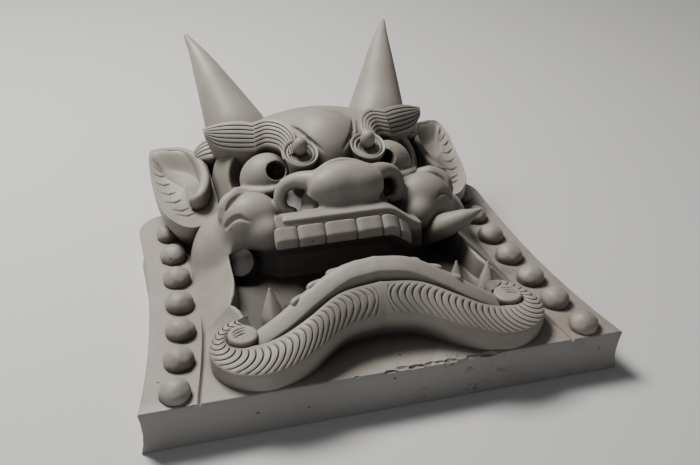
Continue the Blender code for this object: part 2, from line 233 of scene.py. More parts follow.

# %% Group: rubbed edges, dust and painted shade in cuts, and painted shade in hollows
wear_and_shade_tree, wear_and_shade_in, wear_and_shade_out = new_group(
    "rubbed_dusty_and_shaded", [("Cut Reach", "NodeSocketFloat", 0.010),
                         ("Hollow Reach", "NodeSocketFloat", 0.08)],
    [("Rubbed", "NodeSocketFloat"), ("Dust and Shade in Cuts", "NodeSocketFloat"),
     ("Painted Shade in Hollows", "NodeSocketFloat")])
# A short reach finds cuts and creases, which get dust and painted shade.
shade = node(wear_and_shade_tree, "ShaderNodeAmbientOcclusion", {"Distance": wear_and_shade_in["Cut Reach"]},
             samples=8)
point = node(wear_and_shade_tree, "ShaderNodeNewGeometry").outputs["Pointiness"]
wear_and_shade_tree.links.new(mask_of(wear_and_shade_tree, point, 0.505, 0.60), wear_and_shade_out.inputs["Rubbed"])
open_air = mask_of(wear_and_shade_tree, shade.outputs["AO"], 0.15, 0.85)
wear_and_shade_tree.links.new(count_up(wear_and_shade_tree, "SUBTRACT", 1.0, open_air), wear_and_shade_out.inputs["Dust and Shade in Cuts"])
# A wide reach finds deep hollows, which are painted near black further on: painted shade.
wide = node(wear_and_shade_tree, "ShaderNodeAmbientOcclusion", {"Distance": wear_and_shade_in["Hollow Reach"]},
            samples=8)
wear_and_shade_tree.links.new(mask_of(wear_and_shade_tree, wide.outputs["AO"], 0.62, 0.22),
                    wear_and_shade_out.inputs["Painted Shade in Hollows"])
print("group", wear_and_shade_tree.name)

# %% Group: the clay's grain, finger marks and pits, as a height for a Bump node
grain_tree, grain_in, grain_out = new_group(
    "clay_grain", [("Finger Marks", "NodeSocketFloat", 1.0), ("Pits", "NodeSocketFloat", 1.0)],
    [("Height", "NodeSocketFloat"), ("Pit Mask", "NodeSocketFloat")])
spot = node(grain_tree, "ShaderNodeTexCoord").outputs["Object"]
fine = node(grain_tree, "ShaderNodeTexNoise",
            {"Vector": spot, "Scale": 620.0, "Detail": 4.0, "Roughness": 0.6})
broad = node(grain_tree, "ShaderNodeTexNoise",
             {"Vector": spot, "Scale": 48.0, "Detail": 2.0, "Roughness": 0.45})
pores = node(grain_tree, "ShaderNodeTexVoronoi", {"Vector": spot, "Scale": 95.0})
chosen = mask_of(grain_tree, node(grain_tree, "ShaderNodeSeparateColor", {
    "Color": pores.outputs["Color"]}).outputs["Red"], 0.90, 0.92)
deep = count_up(grain_tree, "MULTIPLY", chosen, mask_of(grain_tree, pores.outputs["Distance"],
                                                         0.16, 0.06))
pit = count_up(grain_tree, "MULTIPLY", deep, grain_in["Pits"])
swell = count_up(grain_tree, "MULTIPLY", broad.outputs["Fac"], grain_in["Finger Marks"])
height = count_up(grain_tree, "MULTIPLY_ADD", fine.outputs["Fac"], 0.10, swell)
grain_tree.links.new(count_up(grain_tree, "SUBTRACT", height, pit), grain_out.inputs["Height"])
grain_tree.links.new(pit, grain_out.inputs["Pit Mask"])
print("group", grain_tree.name)

# %% [markdown]
# Each material mixes the same clay in its own way. The face is rubbed smooth, with painted shade
# in the mouth, the hair holds dust and painted shade in its cuts, every material has painted shade
# in its deep hollows, and the plate has a cooler, denser bottom edge, where it stood on the kiln
# shelf, and reddish stains of old roof dust. The Principled BSDF stays in the material.

# %% The clay materials


def clay_material(name, dust_and_shade, dust_and_shade_amount, rubbed, marks, pits, size, plate=False, mouth=False):
    """Smoked clay with its own amounts of dust and painted shade in the cuts, wear, finger marks
    and pits.
    """
    material = bpy.data.materials.new(name)
    material.use_nodes = True
    tree = material.node_tree
    shader = tree.nodes["Principled BSDF"]
    tone = node(tree, "ShaderNodeGroup", node_tree=tone_tree)
    tone.inputs["Size"].default_value = size
    wear_and_shade = node(tree, "ShaderNodeGroup", node_tree=wear_and_shade_tree)
    wear_and_shade.inputs["Cut Reach"].default_value = 0.012 if plate else 0.009
    grain = node(tree, "ShaderNodeGroup", node_tree=grain_tree)
    grain.inputs["Finger Marks"].default_value = marks
    grain.inputs["Pits"].default_value = pits
    # Cuts take the dust colour: partly dust, partly painted shade.
    colour = mixed(tree, count_up(tree, "MULTIPLY", wear_and_shade.outputs["Dust and Shade in Cuts"], dust_and_shade_amount),
                   tone.outputs["Tone"], dust_and_shade)
    colour = mixed(tree, count_up(tree, "MULTIPLY", wear_and_shade.outputs["Rubbed"], rubbed), colour,
                   (0.345, 0.325, 0.300))
    rough = count_up(tree, "MULTIPLY_ADD", tone.outputs["Cloud"], -0.10, 0.60)
    rough = count_up(tree, "MULTIPLY_ADD", wear_and_shade.outputs["Dust and Shade in Cuts"], 0.25, rough)
    # Deep hollows are painted near black: painted shade.
    colour = mixed(tree, count_up(tree, "MULTIPLY", wear_and_shade.outputs["Painted Shade in Hollows"], 0.85), colour,
                   (0.040, 0.033, 0.028))
    # The mouth's inside is painted near black: painted shade.
    if mouth:
        colour = painted_mouth_shade(tree, colour)
    if plate:
        colour, rough = plate_stains(tree, colour, rough)
    # Pits are painted darker: painted shade inside them.
    colour = mixed(tree, grain.outputs["Pit Mask"], colour, (0.075, 0.062, 0.052))
    bump = node(tree, "ShaderNodeBump", {"Height": grain.outputs["Height"], "Strength": 0.55,
                                         "Distance": 0.0011})
    tree.links.new(colour, shader.inputs["Base Color"])
    tree.links.new(rough, shader.inputs["Roughness"])
    tree.links.new(bump.outputs["Normal"], shader.inputs["Normal"])
    shader.inputs["Specular IOR Level"].default_value = 0.42
    shader.inputs["Sheen Weight"].default_value = 0.06
    shader.inputs["Sheen Roughness"].default_value = 0.5
    material.diffuse_color = (0.22, 0.20, 0.18, 1.0)
    return material


def painted_mouth_shade(tree, colour):
    """Painted shade on the mouth's walls and floor, behind the teeth and below the cheeks: a
    near-black laid on by place.
    """
    spot = node(tree, "ShaderNodeTexCoord").outputs["Object"]
    across = node(tree, "ShaderNodeSeparateXYZ", {"Vector": spot}).outputs
    sides = mask_of(tree, count_up(tree, "ABSOLUTE", across["X"]), 0.1125, 0.104)
    above = count_up(tree, "SUBTRACT", across["Y"], BOTTOM + 0.124)
    risen = count_up(tree, "MAXIMUM", above, 0.0)
    height = count_up(tree, "MULTIPLY_ADD", risen, 0.75, across["Z"])
    inside = count_up(tree, "MULTIPLY", sides, mask_of(tree, height, 0.099, 0.090))
    inside = count_up(tree, "MULTIPLY", inside, mask_of(tree, above, 0.056, 0.046))
    return mixed(tree, count_up(tree, "MULTIPLY", inside, 0.85), colour, (0.030, 0.025, 0.022))


def plate_stains(tree, colour, rough):
    """A cooler, smoother bottom edge, and rusty dust in patches on the right."""
    spot = node(tree, "ShaderNodeTexCoord").outputs["Object"]
    across = node(tree, "ShaderNodeSeparateXYZ", {"Vector": spot}).outputs
    ragged = node(tree, "ShaderNodeTexNoise", {"Vector": spot, "Scale": 70.0, "Detail": 6.0,
                                               "Roughness": 0.7}).outputs["Fac"]
    down = count_up(tree, "MULTIPLY_ADD", ragged, 0.004, across["Y"])
    shelf = mask_of(tree, down, BOTTOM + 0.0045, BOTTOM + 0.0015)
    colour = mixed(tree, count_up(tree, "MULTIPLY", shelf, 0.75), colour, (0.235, 0.232, 0.226))
    rough = count_up(tree, "MULTIPLY_ADD", shelf, -0.12, rough)
    patches = node(tree, "ShaderNodeTexNoise", {"Vector": spot, "Scale": 26.0, "Detail": 4.0,
                                                "Roughness": 0.75}).outputs["Fac"]
    right = mask_of(tree, across["X"], 0.02, 0.15)
    rust = count_up(tree, "MULTIPLY", right, mask_of(tree, patches, 0.46, 0.66))
    colour = mixed(tree, count_up(tree, "MULTIPLY", rust, 0.42), colour, (0.190, 0.125, 0.088))
    low_right = mask_of(tree, count_up(tree, "ABSOLUTE", count_up(
        tree, "SUBTRACT", across["X"], 0.062)), 0.055, 0.012)
    spots = count_up(tree, "MULTIPLY", low_right, mask_of(tree, ragged, 0.56, 0.64))
    near_edge = mask_of(tree, across["Y"], BOTTOM + 0.012, BOTTOM + 0.002)
    spots = count_up(tree, "MULTIPLY", spots, near_edge)
    spots = count_up(tree, "MULTIPLY", spots, 0.8)
    return mixed(tree, spots, colour, (0.105, 0.050, 0.036)), rough


SKIN = {"dust_and_shade": (0.115, 0.092, 0.073), "dust_and_shade_amount": 0.55, "rubbed": 0.35, "marks": 0.9,
        "pits": 0.55, "size": 13.0}
HAIR = {"dust_and_shade": (0.085, 0.066, 0.052), "dust_and_shade_amount": 0.85, "rubbed": 0.45, "marks": 0.5,
        "pits": 0.3, "size": 17.0}
SLAB = {"dust_and_shade": (0.130, 0.100, 0.076), "dust_and_shade_amount": 0.50, "rubbed": 0.40, "marks": 0.7,
        "pits": 0.9, "size": 9.0}
face_clay = clay_material("smoked_clay", **SKIN)
flesh_clay = clay_material("smoked_flesh", **SKIN, mouth=True)
hair_clay = clay_material("combed_clay", **HAIR)
plate_clay = clay_material("plate_clay", **SLAB, plate=True)
print("materials:", face_clay.name, hair_clay.name, plate_clay.name)

# %% [markdown]
# Every piece below is a part of the one fired body, so all of them ride on the same body of
# the frame and stand for the same CAD solid. A small builder collects skins, which are rings
# of points joined by faces, in one mesh, mirrors them, and turns the faces outwards.

# %% The builder of pieces


def settle(thing):
    """Says that a finished object is part of the tile."""
    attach(thing, "root")
    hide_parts("onigawara")
    thing.data.calc_loop_triangles()
    print(f"{thing.name}: {len(thing.data.loop_triangles)} triangles")
    return thing


class Piece:
    """Skins that become one object."""

    def __init__(self, name, material):
        self.name, self.material, self.mesh = name, material, bmesh.new()

    def skin(self, rings, sides=(1, -1)):
        """Skins rings of points, and their mirror image."""
        for side in sides:
            skinned(self.mesh, [np.asarray(ring) * (side, 1, 1) for ring in rings])

    def tube(self, path, widths, depths=None, count=32, up=(0, 0, 1), power=2.0, sides=(1, -1),
             round_tip=False):
        """A bar along a path: power 2 gives a round section, less a ridged one, more a square."""
        path = np.array(path, float)
        depths = widths if depths is None else depths
        tangents = np.gradient(path, axis=0)
        angles = round_angles(count)
        round_x = np.sign(np.cos(angles)) * np.abs(np.cos(angles)) ** (2 / power)
        round_y = np.sign(np.sin(angles)) * np.abs(np.sin(angles)) ** (2 / power)
        rings = []
        for centre, tangent, width, depth in zip(path, tangents, widths, depths):
            along = tangent / np.linalg.norm(tangent)
            across = np.cross(along, up)
            across /= np.linalg.norm(across)
            rise = np.cross(across, along)
            rings.append(centre + np.outer(round_x * width, across)
                         + np.outer(round_y * depth, rise))
        if round_tip:
            last, along = rings[-1], tangents[-1] / np.linalg.norm(tangents[-1])
            for t in (0.5, 0.8, 0.95):
                shrunk = path[-1] + (last - path[-1]) * math.sqrt(1 - t * t)
                rings.append(shrunk + along * (widths[-1] * t))
        self.skin(rings, sides)

    def cushion(self, centre, sizes, power=2.0, turn=(0, 0, 0), count=(32, 20)):
        """A ball, or with more power a rounded block, turned by angles in degrees."""
        spin = np.array(Euler([math.radians(a) for a in turn]).to_matrix())
        self.skin([(ring * sizes) @ spin.T + centre for ring in ball_rings(*count, power)])

    def done(self, angle=50):
        """Closes the piece and hangs it on the frame."""
        thing = object_of(self.name, self.mesh, bpy.context.scene.collection)
        thing.data.shade_smooth()
        thing.data.set_sharp_from_angle(angle=math.radians(angle))
        thing.data.materials.append(self.material)
        return settle(thing)


def dented(points, strokes, width, depth):
    """Presses points in under knife strokes, which are lines seen from the front."""
    points = np.array(points, float)
    for stroke in strokes:
        stroke = np.array(stroke, float)[:, :2]
        nearest = np.full(len(points), 1e9)
        share = np.zeros(len(points))
        for k, (a, b) in enumerate(zip(stroke, stroke[1:])):
            t = np.clip((points[:, :2] - a) @ (b - a) / ((b - a) @ (b - a)), 0, 1)
            gap = np.linalg.norm(points[:, :2] - a - np.outer(t, b - a), axis=1)
            closer = gap < nearest
            nearest[closer] = gap[closer]
            share[closer] = (k + t[closer]) / (len(stroke) - 1)
        slim = np.sin(math.pi * np.clip(share, 0.02, 0.98)) ** 0.6
        points[:, 2] -= depth * slim * np.clip(1 - nearest / (width * slim), 0, 1)
    return points


print("builder ready")

# %% [markdown]
# The plate is a slab 42 mm thick with gently flared sides and rounded shoulders. Rings of its
# outline, one for each level, give the dished sides and the soft front arris. The hollow back,
# the V cut beside the pearls and the chips of the worn bottom arris are Booleans, because each
# is a simple form that meets the slab in a crisp line.

# %% Plate: outline
HALF_WIDTH, FLARE, FLARE_HEIGHT = 182, 28, 240
SHOULDER_HEIGHT, SHOULDER_ROUND = 260, 30
CROWN_HEIGHT, CROWN_HALF, CROWN_RISE = 290, 118, 43


def half_width(y):
    """Half the plate's width at a height in mm, flared towards the bottom."""
    return HALF_WIDTH + FLARE * max(0.0, 1 - y / FLARE_HEIGHT) ** 2.3


def plate_outline(pull, bottom=0.0, fine=3):
    """From the right bottom corner round the top to the left one, pulled in by so much."""
    right = [(half_width(y) - pull, y) for y in np.linspace(bottom, SHOULDER_HEIGHT, 8 * fine)]
    bend = SHOULDER_ROUND - pull
    for angle in np.radians(np.linspace(0, 90, 4 * fine)[1:]):
        right.append((HALF_WIDTH - SHOULDER_ROUND + bend * math.cos(angle),
                      SHOULDER_HEIGHT + bend * math.sin(angle)))
    for angle in np.radians(np.linspace(4, 86, 5 * fine)):
        right.append(((CROWN_HALF - pull) * math.cos(angle),
                      CROWN_HEIGHT + (CROWN_RISE - pull) * math.sin(angle)))
    return np.array(right + [(-x, y) for x, y in reversed(right)])


def at_level(outline, z):
    """Lays an outline at a height z above the ground, in mm."""
    return np.column_stack([outline, np.full(len(outline), z - 1000 * FRONT)])


slab = Piece("plate", plate_clay)
levels = [(0.7, 0.7, 0), (0, 0, 0.7), (1.9, 0, 10), (2.5, 0, 21), (1.5, 0, 33), (0, 0, 40.4),
          (0.35, 0.3, 41.3), (0.8, 0.8, 41.75), (1.5, 1.5, 42)]
slab.skin([at_level(plate_outline(pull, bottom), z) for pull, bottom, z in levels], sides=(1,))
plate = slab.done()

# %% Plate: what is cut from it
rng = np.random.default_rng(11)
cutters = bpy.data.collections.new("cutters")
bpy.context.scene.collection.children.link(cutters)


def cutter(name, rings):
    """A helper solid that a Boolean takes away."""
    mesh = bmesh.new()
    skinned(mesh, rings)
    object_of(name, mesh, cutters)


def egg_rings(centre, sizes, count=(24, 14), rough=0.0):
    """The rings of an egg, roughened where a chip needs it."""
    return [centre + ring * sizes * (1 + rough * rng.uniform(-1, 1, (count[0], 1)))
            for ring in ball_rings(*count)]


WALL, HOLLOW_DEPTH, GROOVE_INSET = 26, 26, 47
HEAD_HOLLOW = ((0, 222, -20), (75, 60, 56))
cutter("back_hollow", [at_level(plate_outline(WALL, WALL, 1), z) for z in (-20, HOLLOW_DEPTH)])
cutter("head_hollow", egg_rings(*HEAD_HOLLOW, (40, 24)))
for side in (1, -1):
    heights = np.linspace(-5, 195, 12)
    middle = [side * (half_width(max(y, 0)) - GROOVE_INSET) for y in heights]
    cutter("side_groove", [[(x, y, -2.5), (x + 2.6, y, 1), (x - 2.6, y, 1)]
                           for x, y in zip(middle, heights)])
WORN_CHIPS, OTHER_CHIPS = 15, 7
chips = np.concatenate([rng.uniform(-8, 104, WORN_CHIPS), rng.uniform(-200, 200, OTHER_CHIPS)])
for k, x in enumerate(chips):
    size = rng.uniform(1.6, 5.0) if k < WORN_CHIPS else rng.uniform(0.8, 1.8)
    cutter("chip", egg_rings((x, rng.uniform(-0.6, 0.8), rng.uniform(-0.6, 0.5)),
                             (2.0 * size, 0.9 * size, 0.6 * size), (9, 6), 0.25))
boolean = plate.modifiers.new("cut", "BOOLEAN")
boolean.operation, boolean.operand_type, boolean.solver = "DIFFERENCE", "COLLECTION", "EXACT"
boolean.collection = cutters
applied(plate).shade_smooth()
plate.data.set_sharp_from_angle(angle=math.radians(32))
for thing in list(cutters.objects):
    bpy.data.objects.remove(thing, do_unlink=True)
bpy.data.collections.remove(cutters)
print("plate cut:", len(plate.data.polygons), "faces")

# %% [markdown]
# Seven pearls run up each side. They are rolled between the palms and pressed on, so no two
# are quite the same. Geometry Nodes puts one slightly uneven ball on every given point, sized
# by the point's own attribute and turned at random, which keeps the row easy to change.

# %% Pearls: the points, and the node tree
FIRST_PEARL, PEARL_PITCH, PEARL_INSET, PEARLS = 15, 38.5, 27, 7
heights = [FIRST_PEARL + PEARL_PITCH * k for k in range(PEARLS)]
pearl_points = [(side * (half_width(y) - PEARL_INSET), y, 3.0) for side in (1, -1) for y in heights]
seeds = bpy.data.meshes.new("pearl_points")
seeds.from_pydata([tuple(point) for point in place(pearl_points)], [], [])
sizes = seeds.attributes.new("size", "FLOAT", "POINT")
sizes.data.foreach_set("value", [1.0, 1.0, 0.99, 1.0, 0.97, 0.95, 0.86] * 2)
row_object = bpy.data.objects.new("pearls", seeds)
bpy.context.scene.collection.objects.link(row_object)

pearl_tree = bpy.data.node_groups.new("pearl_row", "GeometryNodeTree")
pearl_inputs = {}
for label, kind, value in (("Geometry", "NodeSocketGeometry", None),
                           ("Radius", "NodeSocketFloat", 0.013),
                           ("Flatness", "NodeSocketFloat", 0.88),
                           ("Unevenness", "NodeSocketFloat", 0.05),
                           ("Seed", "NodeSocketInt", 4),
                           ("Material", "NodeSocketMaterial", None)):
    socket = pearl_tree.interface.new_socket(label, in_out="INPUT", socket_type=kind)
    if value is not None:
        socket.default_value = value
    pearl_inputs[label] = socket.identifier
pearl_tree.interface.new_socket("Geometry", in_out="OUTPUT", socket_type="NodeSocketGeometry")
given = pearl_tree.nodes.new("NodeGroupInput").outputs
ball = node(pearl_tree, "GeometryNodeMeshUVSphere", {"Segments": 48, "Rings": 30, "Radius": 1.0})
bumps = node(pearl_tree, "ShaderNodeTexNoise", {"Scale": 1.1, "Detail": 1.0})
lift = count_up(pearl_tree, "SUBTRACT", bumps.outputs["Fac"], 0.5)
swell = count_up(pearl_tree, "MULTIPLY", lift, given["Unevenness"])
push = node(pearl_tree, "ShaderNodeVectorMath", {
    0: node(pearl_tree, "GeometryNodeInputNormal").outputs[0],
    "Scale": count_up(pearl_tree, "MULTIPLY", swell, 4.0)}, operation="SCALE")
uneven = node(pearl_tree, "GeometryNodeSetPosition", {
    "Geometry": ball.outputs["Mesh"], "Offset": push.outputs[0]})
size = node(pearl_tree, "GeometryNodeInputNamedAttribute", {"Name": "size"}, data_type="FLOAT")
radius = count_up(pearl_tree, "MULTIPLY", size.outputs["Attribute"], given["Radius"])
flat = count_up(pearl_tree, "MULTIPLY", radius, given["Flatness"])
scale = node(pearl_tree, "ShaderNodeCombineXYZ", {"X": radius, "Y": radius, "Z": flat})
turn = node(pearl_tree, "FunctionNodeRandomValue", {"Seed": given["Seed"]},
            data_type="FLOAT_VECTOR")
turn.inputs[0].default_value = (-0.12, -0.12, 0.0)
turn.inputs[1].default_value = (0.12, 0.12, 6.28)
rotation = node(pearl_tree, "FunctionNodeEulerToRotation", {"Euler": turn.outputs[0]})
placed = node(pearl_tree, "GeometryNodeInstanceOnPoints", {
    "Points": given["Geometry"], "Instance": uneven.outputs[0], "Scale": scale.outputs[0],
    "Rotation": rotation.outputs[0]})
real = node(pearl_tree, "GeometryNodeRealizeInstances", {"Geometry": placed.outputs[0]})
smooth = node(pearl_tree, "GeometryNodeSetShadeSmooth", {"Geometry": real.outputs[0]})
dressed = node(pearl_tree, "GeometryNodeSetMaterial", {
    "Geometry": smooth.outputs[0], "Material": given["Material"]})
pearl_tree.links.new(dressed.outputs[0], pearl_tree.nodes.new("NodeGroupOutput").inputs[0])
print("pearl tree with", len(pearl_tree.nodes), "nodes")

# %% Pearls: made a plain mesh


def baked(thing, tree, values):
    """Runs a Geometry Nodes tree on an object and keeps its result as a plain mesh."""
    modifier = thing.modifiers.new(tree.name, "NODES")
    modifier.node_group = tree
    for identifier, value in values.items():
        modifier[identifier] = value
    applied(thing)
    return thing


settle(baked(row_object, pearl_tree, {pearl_inputs["Radius"]: 0.013,
                                      pearl_inputs["Material"]: plate_clay}))

# %% [markdown]
# The flesh of the face is one lump: no seam shows between cheek, jaw, nose and skull. Meshes
# joined by Booleans would meet in hard lines, so the lump is a distance field: a block of
# space that stores how far each point is from the clay. Forms are pressed in with a soft
# minimum, which fills the join as a wet finger does, and cuts use the same rule turned round.
# The surface is then read from the block, cell by cell.

# %% Clay in a block of space


def soft_least(a, b, blend):
    """The smaller of two distances, rounded where they are nearly equal."""
    near = np.maximum(blend - np.abs(a - b), 0) / blend
    return np.minimum(a, b) - near * near * blend * 0.25


class Clay:
    """A block of distances to the clay, in millimetres."""

    def __init__(self, lowest, highest, step):
        self.step = step
        self.axes = [np.arange(a, b + step, step, dtype=np.float32)
                     for a, b in zip(lowest, highest)]
        self.field = np.full([len(axis) for axis in self.axes], 60.0, np.float32)

    def window(self, lowest, highest, margin=22):
        """The part of the block round a form, and its coordinates."""
        where = []
        for axis, a, b in zip(self.axes, lowest, highest):
            first = int(np.clip((a - margin - axis[0]) / self.step, 0, len(axis) - 1))
            last = int(np.clip((b + margin - axis[0]) / self.step, first + 1, len(axis)))
            where.append(slice(first, last + 1))
        grid = np.meshgrid(*(axis[s] for axis, s in zip(self.axes, where)), indexing="ij",
                           sparse=True)
        return tuple(where), grid

    def press(self, form, blend, sides=(1, -1), way=1):
        """Adds a form and its mirror image, or takes them away where the way is -1."""
        for lowest, highest, distance in self.mirrored(form, sides):
            where, grid = self.window(lowest, highest)
            self.field[where] = way * soft_least(way * self.field[where], distance(*grid), blend)

    def cut(self, form, blend, sides=(1, -1)):
        """Takes a form away, and its mirror image."""
        self.press(form, blend, sides, -1)

    @staticmethod
    def mirrored(form, sides):
        """A form for each side: the left one is asked with x turned round."""
        lowest, highest, distance = form
        for side in sides:
            if side > 0:
                yield lowest, highest, distance
            else:
                yield ((-highest[0], lowest[1], lowest[2]), (-lowest[0], highest[1], highest[2]),
                       lambda x, y, h: distance(-x, y, h))

    def skin_height(self, x, y):
        """How high the clay stands at a place seen from the front."""
        i, j = (int(round((v - axis[0]) / self.step)) for v, axis in zip((x, y), self.axes))
        column = self.field[i, j]
        k = int(np.nonzero(column < 0)[0].max())
        return float(self.axes[2][k] + self.step * column[k] / (column[k] - column[k + 1]))


def egg(centre, radii, turn=(0, 0, 0)):
    """An ellipsoid, turned by angles in degrees."""
    spin = np.array(Euler([math.radians(a) for a in turn]).to_matrix())
    reach = np.abs(spin) @ np.array(radii, float)

    def distance(x, y, h):
        parts = [((x - centre[0]) * spin[0, k] + (y - centre[1]) * spin[1, k]
                  + (h - centre[2]) * spin[2, k]) / radii[k] for k in range(3)]
        length = np.sqrt(sum(part * part for part in parts))
        steep = np.sqrt(sum((part / r) ** 2 for part, r in zip(parts, radii)))
        return length * (length - 1) / np.maximum(steep, 1e-4)

    return np.array(centre) - reach, np.array(centre) + reach, distance


def roll(path, radii):
    """A roll of clay along a path, or with a small radius the path of a knife."""
    path = np.array(path, float)
    radii = spread(len(path), *radii)

    def distance(x, y, h):
        nearest = None
        for a, b, first, second in zip(path, path[1:], radii, radii[1:]):
            d = b - a
            t = np.clip(((x - a[0]) * d[0] + (y - a[1]) * d[1] + (h - a[2]) * d[2]) / (d @ d), 0, 1)
            gap = np.sqrt((x - a[0] - t * d[0]) ** 2 + (y - a[1] - t * d[1]) ** 2
                          + (h - a[2] - t * d[2]) ** 2) - (first + t * (second - first))
            nearest = gap if nearest is None else np.minimum(nearest, gap)
        return nearest

    return path.min(axis=0) - max(radii), path.max(axis=0) + max(radii), distance


def flat_distance(outline, x, y):
    """Distance to an outline in its plane, negative inside it."""
    nearest = np.full(np.broadcast(x, y).shape, 1e9)
    inside = np.zeros(nearest.shape, bool)
    outline = np.array(outline, float)
    for a, b in zip(outline, np.roll(outline, -1, axis=0)):
        d = b - a
        t = np.clip(((x - a[0]) * d[0] + (y - a[1]) * d[1]) / max(d @ d, 1e-9), 0, 1)
        nearest = np.minimum(nearest, np.hypot(x - a[0] - t * d[0], y - a[1] - t * d[1]))
        inside ^= ((a[1] > y) != (b[1] > y)) & (x < d[0] * (y - a[1]) / (d[1] or 1e-9) + a[0])
    return np.where(inside, -nearest, nearest)


STEP = 1.1
face = Clay((-150, 30, -8), (150, 341, 136), STEP)
print("a block of", " x ".join(str(n) for n in face.field.shape), "cells")

# %% [markdown]
# First the big lumps: the cheeks' dome, the skull, and the skirt of skin that slopes from the
# plate up to the mouth's rim. Then the mouth is cut through the skirt down to its floor, which
# leaves the scalloped rim that the real mouth has in its lower corners.

# %% Face: dome, skull and skirt
face.press(egg((0, 196, -5), (134, 108, 64)), 20, sides=(1,))
face.press(egg((0, 262, 45), (106, 72, 66)), 24, sides=(1,))
# Each row of the skirt: its height y, the rim's x, how high the rim stands, and the foot's x.
skirt = np.array([(44, 112, 7, 131), (52, 112, 9, 135), (63, 114, 14, 139), (78, 113, 20, 142),
                  (91, 121.7, 23, 143), (120, 112, 27, 143), (151, 110, 29, 143),
                  (178, 100, 37, 141), (205, 90, 46, 134), (222, 84, 44, 122)], float)


def skirt_distance(x, y, h):
    """The skirt as a height over the plate, turned into a distance."""
    rim, top, foot = (np.interp(y, skirt[:, 0], skirt[:, k]) for k in (1, 2, 3))
    t = (foot - x) / (foot - rim)
    ground = np.where(t > 0, top * np.clip(t, 0, 1) ** 1.12, t * 26)
    ends = np.maximum(44 - y, y - 224)
    return np.maximum(np.maximum((h - ground) * 0.78, ends), 70 - x)


face.press(((70, 44, -8), (143, 224, 50), skirt_distance), 8)
print("skirt pressed on")

# %% Face: the mouth
half_mouth = [(0, 52), (60, 46), (98, 40), (110, 50), (114.6, 60), (113.2, 68), (112.9, 76),
              (114, 83), (117.5, 89), (121.6, 91.5), (118.5, 97), (115, 105), (112.4, 116),
              (111, 128), (110.6, 146), (109.4, 160), (106.5, 171), (101.5, 178.5), (94, 180),
              (86, 174), (76, 160), (62, 150), (0, 150)]
mouth_line = np.array(half_mouth + [(-x, y) for x, y in reversed(half_mouth[1:-1])])


def mouth_distance(x, y, h):
    """The mouth's space: its outline, narrower towards the floor."""
    wall = flat_distance(mouth_line, x[:, :, 0], y[:, :, 0])[:, :, None]
    return np.maximum(wall + 0.16 * np.maximum(34 - h, 0), 5 - h)


face.cut(((-122, 42, 5), (122, 178, 150), mouth_distance), 1.5, sides=(1,))
print("mouth cut")

# %% [markdown]
# The cheeks are big balls that flow into the skirt, with the eyes in sockets above them and a
# soft lid along each eye's lower side. The cheeks hang over the mouth's corners, so the mouth
# is cut a second time, only up to their underside. The muzzle butts against the balls in a
# crisp crease, so it is pressed on after them, with hardly any blend. Its section, seen from
# the side, is swept across the face, straight on the left and sinking into the cheek on the
# right, as the maker's hand left it.

# %% Face: cheeks, eyes and forehead
face.press(egg((103, 196, 10), (32, 38, 30)), 18)
face.press(egg((106, 187, 24), (24, 29, 26)), 12)
face.press(egg((84, 178.5, 47), (30, 25, 30)), 8)
face.press(egg((73, 156, 45), (14, 11, 15)), 9)
face.cut(egg((63, 224, 79), (37, 31, 38)), 4)
face.press(egg((59, 222, 67), (26.5, 22.5, 25.5)), 0.8)
face.press(roll(line([(91, 223, 58), (85, 211, 63), (77, 202.5, 65.5), (68, 198.5, 66.5),
                      (58, 197, 68), (50, 198, 70)], 4), (3.0, 4.6, 5.0, 5.0, 4.6, 3.0)), 2.5)
face.press(egg((0, 237, 79), (41, 44, 44)), 9, sides=(1,))
face.press(egg((0, 184, 76), (21, 20, 17)), 6, sides=(1,))
face.cut(roll([(50.5, 222, 72), (57, 192, 95)], (8.9, 9.1)), 0.6)


CHEEK_UNDERSIDE = 31


def corner_distance(x, y, h):
    """The mouth's space up to the underside of the cheeks."""
    return np.maximum(mouth_distance(x, y, h), h - CHEEK_UNDERSIDE)


face.cut(((-122, 42, 5), (122, 178, 30), corner_distance), 2.5, sides=(1,))
print("cheeks, eyes and forehead pressed on")

# %% Face: muzzle and lip
muzzle_side = [(176, -6), (160, 14), (138, 42), (122, 54), (121.5, 66), (123.2, 72.5), (126, 75.5),
               (127, 78), (131, 79), (139, 77.5), (150, 71), (163, 61), (178, 50), (192, -6)]


JAW_DROP, MUZZLE_HALF = 22, 65


def jaw_sink(x):
    """How far the upper jaw drops towards the right cheek."""
    return JAW_DROP * ease(x, 27, 66)


def muzzle_distance(x, y, h):
    """The muzzle's section swept across, with crisp ends."""
    section = flat_distance(muzzle_side, y - 0.1 * jaw_sink(x), h + jaw_sink(x))
    return -soft_least(-section, MUZZLE_HALF - np.abs(x), 3)


face.press(((-66, 112, -8), (66, 194, 88), muzzle_distance), 1.5, sides=(1,))
lip_roll = [(x, 127.6 + 0.1 * jaw_sink(x), 76.8 - jaw_sink(x))
            for x in np.linspace(1 - MUZZLE_HALF, MUZZLE_HALF - 1, 33)]
face.press(roll(lip_roll, (1.8, 2.2, 2.4, 2.4, 2.2, 1.8)), 1.2, sides=(1,))
print("muzzle and lip pressed on")

